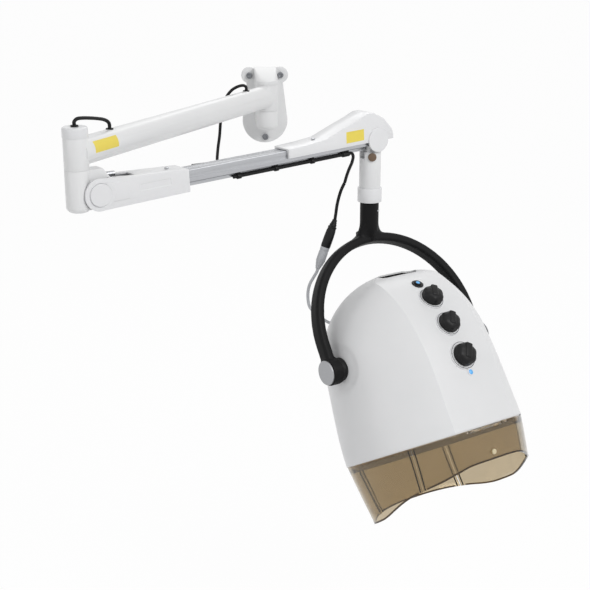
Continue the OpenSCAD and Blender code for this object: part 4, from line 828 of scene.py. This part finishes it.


# %% [markdown]
# Two dark strips lie along each seam, one on each panel. They are painted shade, for the dark
# look that light caught inside the clear panels gives their edges. A thin bead follows each
# panel's lower edge: the rounded edge is real, and its darker tint is painted shade. Both are
# tubes just inside the outer skin, so they swing with their panel and stay within the
# imported model's box.

# %% Seam strips and the rounded lower edge, both with painted shade
SEAM_HALF, STRIP_OVER, STRIP_UNDER, STRIP_INSET, STRIP_D, STRIP_STEPS = 0.011, 3, 1, 5.2, 2.6, 12
BEAD_GAP, BEAD_UP, BEAD_INSET, BEAD_D, BEAD_STEPS = 0.02, 2.0, 2.4, 3.4, 60


# Painted shade: a black strip beside a seam, standing in for the dark look that light caught inside the clear
# panels gives their edges.
def painted_seam_shade(name, u, body):
    run = smooth_edge(u) + STRIP_UNDER + RIM + STRIP_OVER
    heights = [-RIM - STRIP_OVER + run * k / STRIP_STEPS for k in range(STRIP_STEPS + 1)]
    line = [HOOD @ skin(u, height, STRIP_INSET) for height in heights]
    tube(name, line, BLACK_MOULD, body, diameter=STRIP_D, sides=2)


# The bead is the panel's rounded lower edge, and its darker tint is painted shade.
def bead(name, u0, u1, body):
    line = []
    for k in range(BEAD_STEPS + 1):
        u = u0 + (u1 - u0) * k / BEAD_STEPS
        u = u - 2 if u > 1 else u
        line.append(HOOD @ skin(u, smooth_edge(u) + BEAD_UP, BEAD_INSET))
    tube(name, line, SMOKED_EDGE_SHADE, body, diameter=BEAD_D)


for label, seam_shade in (("front_left", -SEAM_F), ("front_right", SEAM_F), ("rear_left", -SEAM_R),
                    ("rear_right", SEAM_R)):
    for letter, side in (("a", -1), ("b", 1)):
        u = seam_shade + side * SEAM_HALF
        painted_seam_shade(f"seam_{label}_{letter}", u, "visor_flap" if abs(u) < SEAM_F else "hood")
for label, u0, u1, body in (("front", -SEAM_F, SEAM_F, "visor_flap"), ("left", -SEAM_R, -SEAM_F, "hood"),
                            ("right", SEAM_F, SEAM_R, "hood"), ("rear", SEAM_R, 2 - SEAM_R, "hood")):
    bead("bead_" + label, u0 + BEAD_GAP, u1 - BEAD_GAP, body)

# %% [markdown]
# Dials: a white plate with a thin grey ring, plain ticks and a black knob with six grip
# lobes and a raised bar. The knob is turned on the lathe and its lobes are then pressed in
# by moving vertices with a cosine, which keeps them perfectly even.

# %% Dials
DIAL_Q, DIAL_R, KNOB_D, KNOB_H, PLATE = (80, 21, -47), (26, 26, 29), (43, 43, 47), 22, 2.5
KNOB_CURVE = [(1, 0.45), (0.95, 0.62), (0.84, 0.76), (0.64, 0.85), (0.34, 0.89), (0, 0.9)]
KNOB_GAP, KNOB_YAW, LOBES, LOBE_DEPTH, LOBE_SOFT = 0.4, 60, 6, 0.075, 4
LINE_LOW, LINE_HIGH, BORE_R = PLATE - 0.05, PLATE + 0.12, 3.1
DASH, DASH_IN, DASHES, DASH_FIRST, DASH_STEP = (1.2, 0.9, 0.2), 3.1, 11, -225, 27


def on_front(q):
    slope = math.degrees(math.atan2(front_reach(q - 5) - front_reach(q + 5), 10))
    return HOOD @ shift(0, -front_reach(q), q) @ turn("X", 90 - slope)


def knob(name, d, place, body, node):
    r = d / 2
    bm = lathe([(0, 0), (r * 0.96, 0), (r, 1)] + [(r * wide, KNOB_H * high) for wide, high in KNOB_CURVE], 96)
    for vert in bm.verts:
        a = math.atan2(vert.co.y, vert.co.x)
        press = 1 - LOBE_DEPTH * (1 - math.cos(LOBES * a)) / 2 * ease(vert.co.z / LOBE_SOFT)
        vert.co.x, vert.co.y = vert.co.x * press, vert.co.y * press
    bar = block((d * 0.7, d * 0.34, KNOB_H * 0.46), (d * 0.08, 0, KNOB_H * 0.735))
    soften(bar, 4.0, segments=4)
    add_to(bm, bar, Matrix())
    place = place @ shift(0, 0, PLATE + KNOB_GAP) @ turn("Z", KNOB_YAW)
    made_piece(name, bm, place, BLACK_MOULD, body, (node,), 40)


plates = bmesh.new()
lines = bmesh.new()
for i, (q, r, d) in enumerate(zip(DIAL_Q, DIAL_R, KNOB_D)):
    place = on_front(q)
    add_to(plates, lathe([(BORE_R, -7), (r - 0.4, -7), (r, -6), (r, PLATE - 0.8), (r - 0.8, PLATE),
                          (BORE_R, PLATE), (BORE_R, -7)], 96), place)
    add_to(lines, lathe([(r - 1.3, LINE_LOW), (r - 1.3, LINE_HIGH), (r - 2.5, LINE_HIGH),
                         (r - 2.5, LINE_LOW), (r - 1.3, LINE_LOW)], 96), place)
    for tick in range(DASHES):
        dash = block(DASH, (r - DASH_IN, 0, PLATE + 0.05))
        add_to(lines, dash, place @ turn("Z", DASH_FIRST + DASH_STEP * tick))
    knob(f"knob_{i + 1}_cap", d, place, f"dial_{i + 1}", f"knob_{i + 1}")
made_piece("dial_plates", plates, Matrix(), MOULDED, "hood", ("dial_rings",), 40)
made_piece("dial_lines", lines, Matrix(), LINE_GREY, "hood")

# %% [markdown]
# Button and lamp are turned pieces too. Each profile is a list of radius and height, from
# the foot below the skin to the crown, and a closed list makes a ring.

# %% Power button, its bezel and the lamp
BUTTON_Q, LAMP_Q, LAMP_X = 118, -82, 4
BEZEL = [(7.1, -7), (11.6, -7), (12, -6), (12, 1.4), (11.2, 2), (7.6, 2), (7.1, 1.5), (7.1, -7)]
BUTTON = [(0, -4.7), (7, -4.7), (7, 3.7), (6.3, 4.5), (4.6, 4.5), (4.3, 4.2), (0, 4.2)]
BUTTON_LIGHT = [(0, 4.15), (4.1, 4.15), (4.0, 4.45), (0, 4.6)]
BOSS = [(5.1, -3), (7.4, -3), (7.4, 0.8), (6.6, 1.5), (5.1, 1.5), (5.1, -3)]
LENS = [(0, -4), (5, -4), (5, 0.8), (3.8, 1.8), (1.9, 2.2), (0, 2.3)]
button_at = on_front(BUTTON_Q)
lamp_at = on_front(LAMP_Q) @ shift(LAMP_X, 0, 0)
made_piece("button_bezel", lathe(BEZEL), button_at, BLACK_MOULD, "hood", (), 40)
made_piece("button_cap", lathe(BUTTON), button_at, BLACK_MOULD, "button", ("power_button",), 40)
made_piece("button_light", lathe(BUTTON_LIGHT), button_at, BLUE_LENS, "button")
made_piece("lamp_boss", lathe(BOSS), lamp_at, MOULDED, "hood", (), 40)
made_piece("lamp_lens", lathe(LENS), lamp_at, BLUE_LENS, "hood", ("pilot_lamp",), 60)

# %% [markdown]
# A pale floor below the hood, a surround that is white to the camera, in reflections and
# through clear plastic and half as strong to everything else, and three broad soft lamps:
# one high on the right, one filling from the left and one from behind.

# %% Floor, surround and lamps
FLOOR_Z, FLOOR_WHITE, AIR_LEVEL = -1.15, 0.96, 0.5
floor_bm = bmesh.new()
bmesh.ops.create_grid(floor_bm, x_segments=1, y_segments=1, size=40, matrix=shift(0, 0, FLOOR_Z))
ground = Finish("pale_floor", Roughness=0.9)
ground.colour(ground.mixed(ground.noise(400, 2.0), seen(250, 250, 250), seen(247, 247, 248)))
ray = ground.node("ShaderNodeLightPath")
glow = ground.node("ShaderNodeEmission", None, {"Color": (1, 1, 1, 1), "Strength": 1.0})
seen_directly = Wire(ground, ray.outputs["Is Camera Ray"])
looked_at = seen_directly + ray.outputs["Is Glossy Ray"] + ray.outputs["Is Transmission Ray"]
blend = ground.node("ShaderNodeMixShader", None,
                    {0: looked_at * FLOOR_WHITE, 1: ground.shader.outputs[0], 2: glow.outputs[0]})
ground.put(ground.tree.nodes["Material Output"].inputs["Surface"], blend.outputs[0])
floor = made_piece("floor", floor_bm, Matrix(), ground.material, None)

surround = bpy.data.worlds.new("surround")
bpy.context.scene.world = surround
surround.use_nodes = True
air = surround.node_tree
path = air.nodes.new("ShaderNodeLightPath")
total = None
for name in ("Is Camera Ray", "Is Glossy Ray", "Is Transmission Ray"):
    if total is None:
        total = path.outputs[name]
        continue
    both = air.nodes.new("ShaderNodeMath")
    both.operation = "MAXIMUM"
    air.links.new(total, both.inputs[0])
    air.links.new(path.outputs[name], both.inputs[1])
    total = both.outputs[0]
level_of = air.nodes.new("ShaderNodeMapRange")
air.links.new(total, level_of.inputs["Value"])
level_of.inputs["To Min"].default_value, level_of.inputs["To Max"].default_value = AIR_LEVEL, 1.0
air.links.new(level_of.outputs["Result"], air.nodes["Background"].inputs["Strength"])
air.nodes["Background"].inputs["Color"].default_value = (1, 1, 1, 1)


def soft_lamp(name, place, aim, width, watts):
    light = bpy.data.lights.new(name, "AREA")
    light.size, light.energy = width, watts
    lamp = bpy.data.objects.new(name, light)
    facing = (Vector(aim) - Vector(place)).to_track_quat("-Z", "Y").to_matrix().to_4x4()
    lamp.matrix_world = Matrix.Translation(place) @ facing
    bpy.context.scene.collection.objects.link(lamp)


MIDDLE = (0, -0.4, -0.2)
soft_lamp("key", (1.7, -2.6, 2.0), (0.1, -0.4, -0.2), 1.6, 50)
soft_lamp("fill", (-2.4, -2.2, 0.6), MIDDLE, 1.8, 9)
soft_lamp("back", (0.4, 1.8, 2.0), MIDDLE, 1.6, 14)
bpy.context.scene.view_settings.view_transform = "Standard"
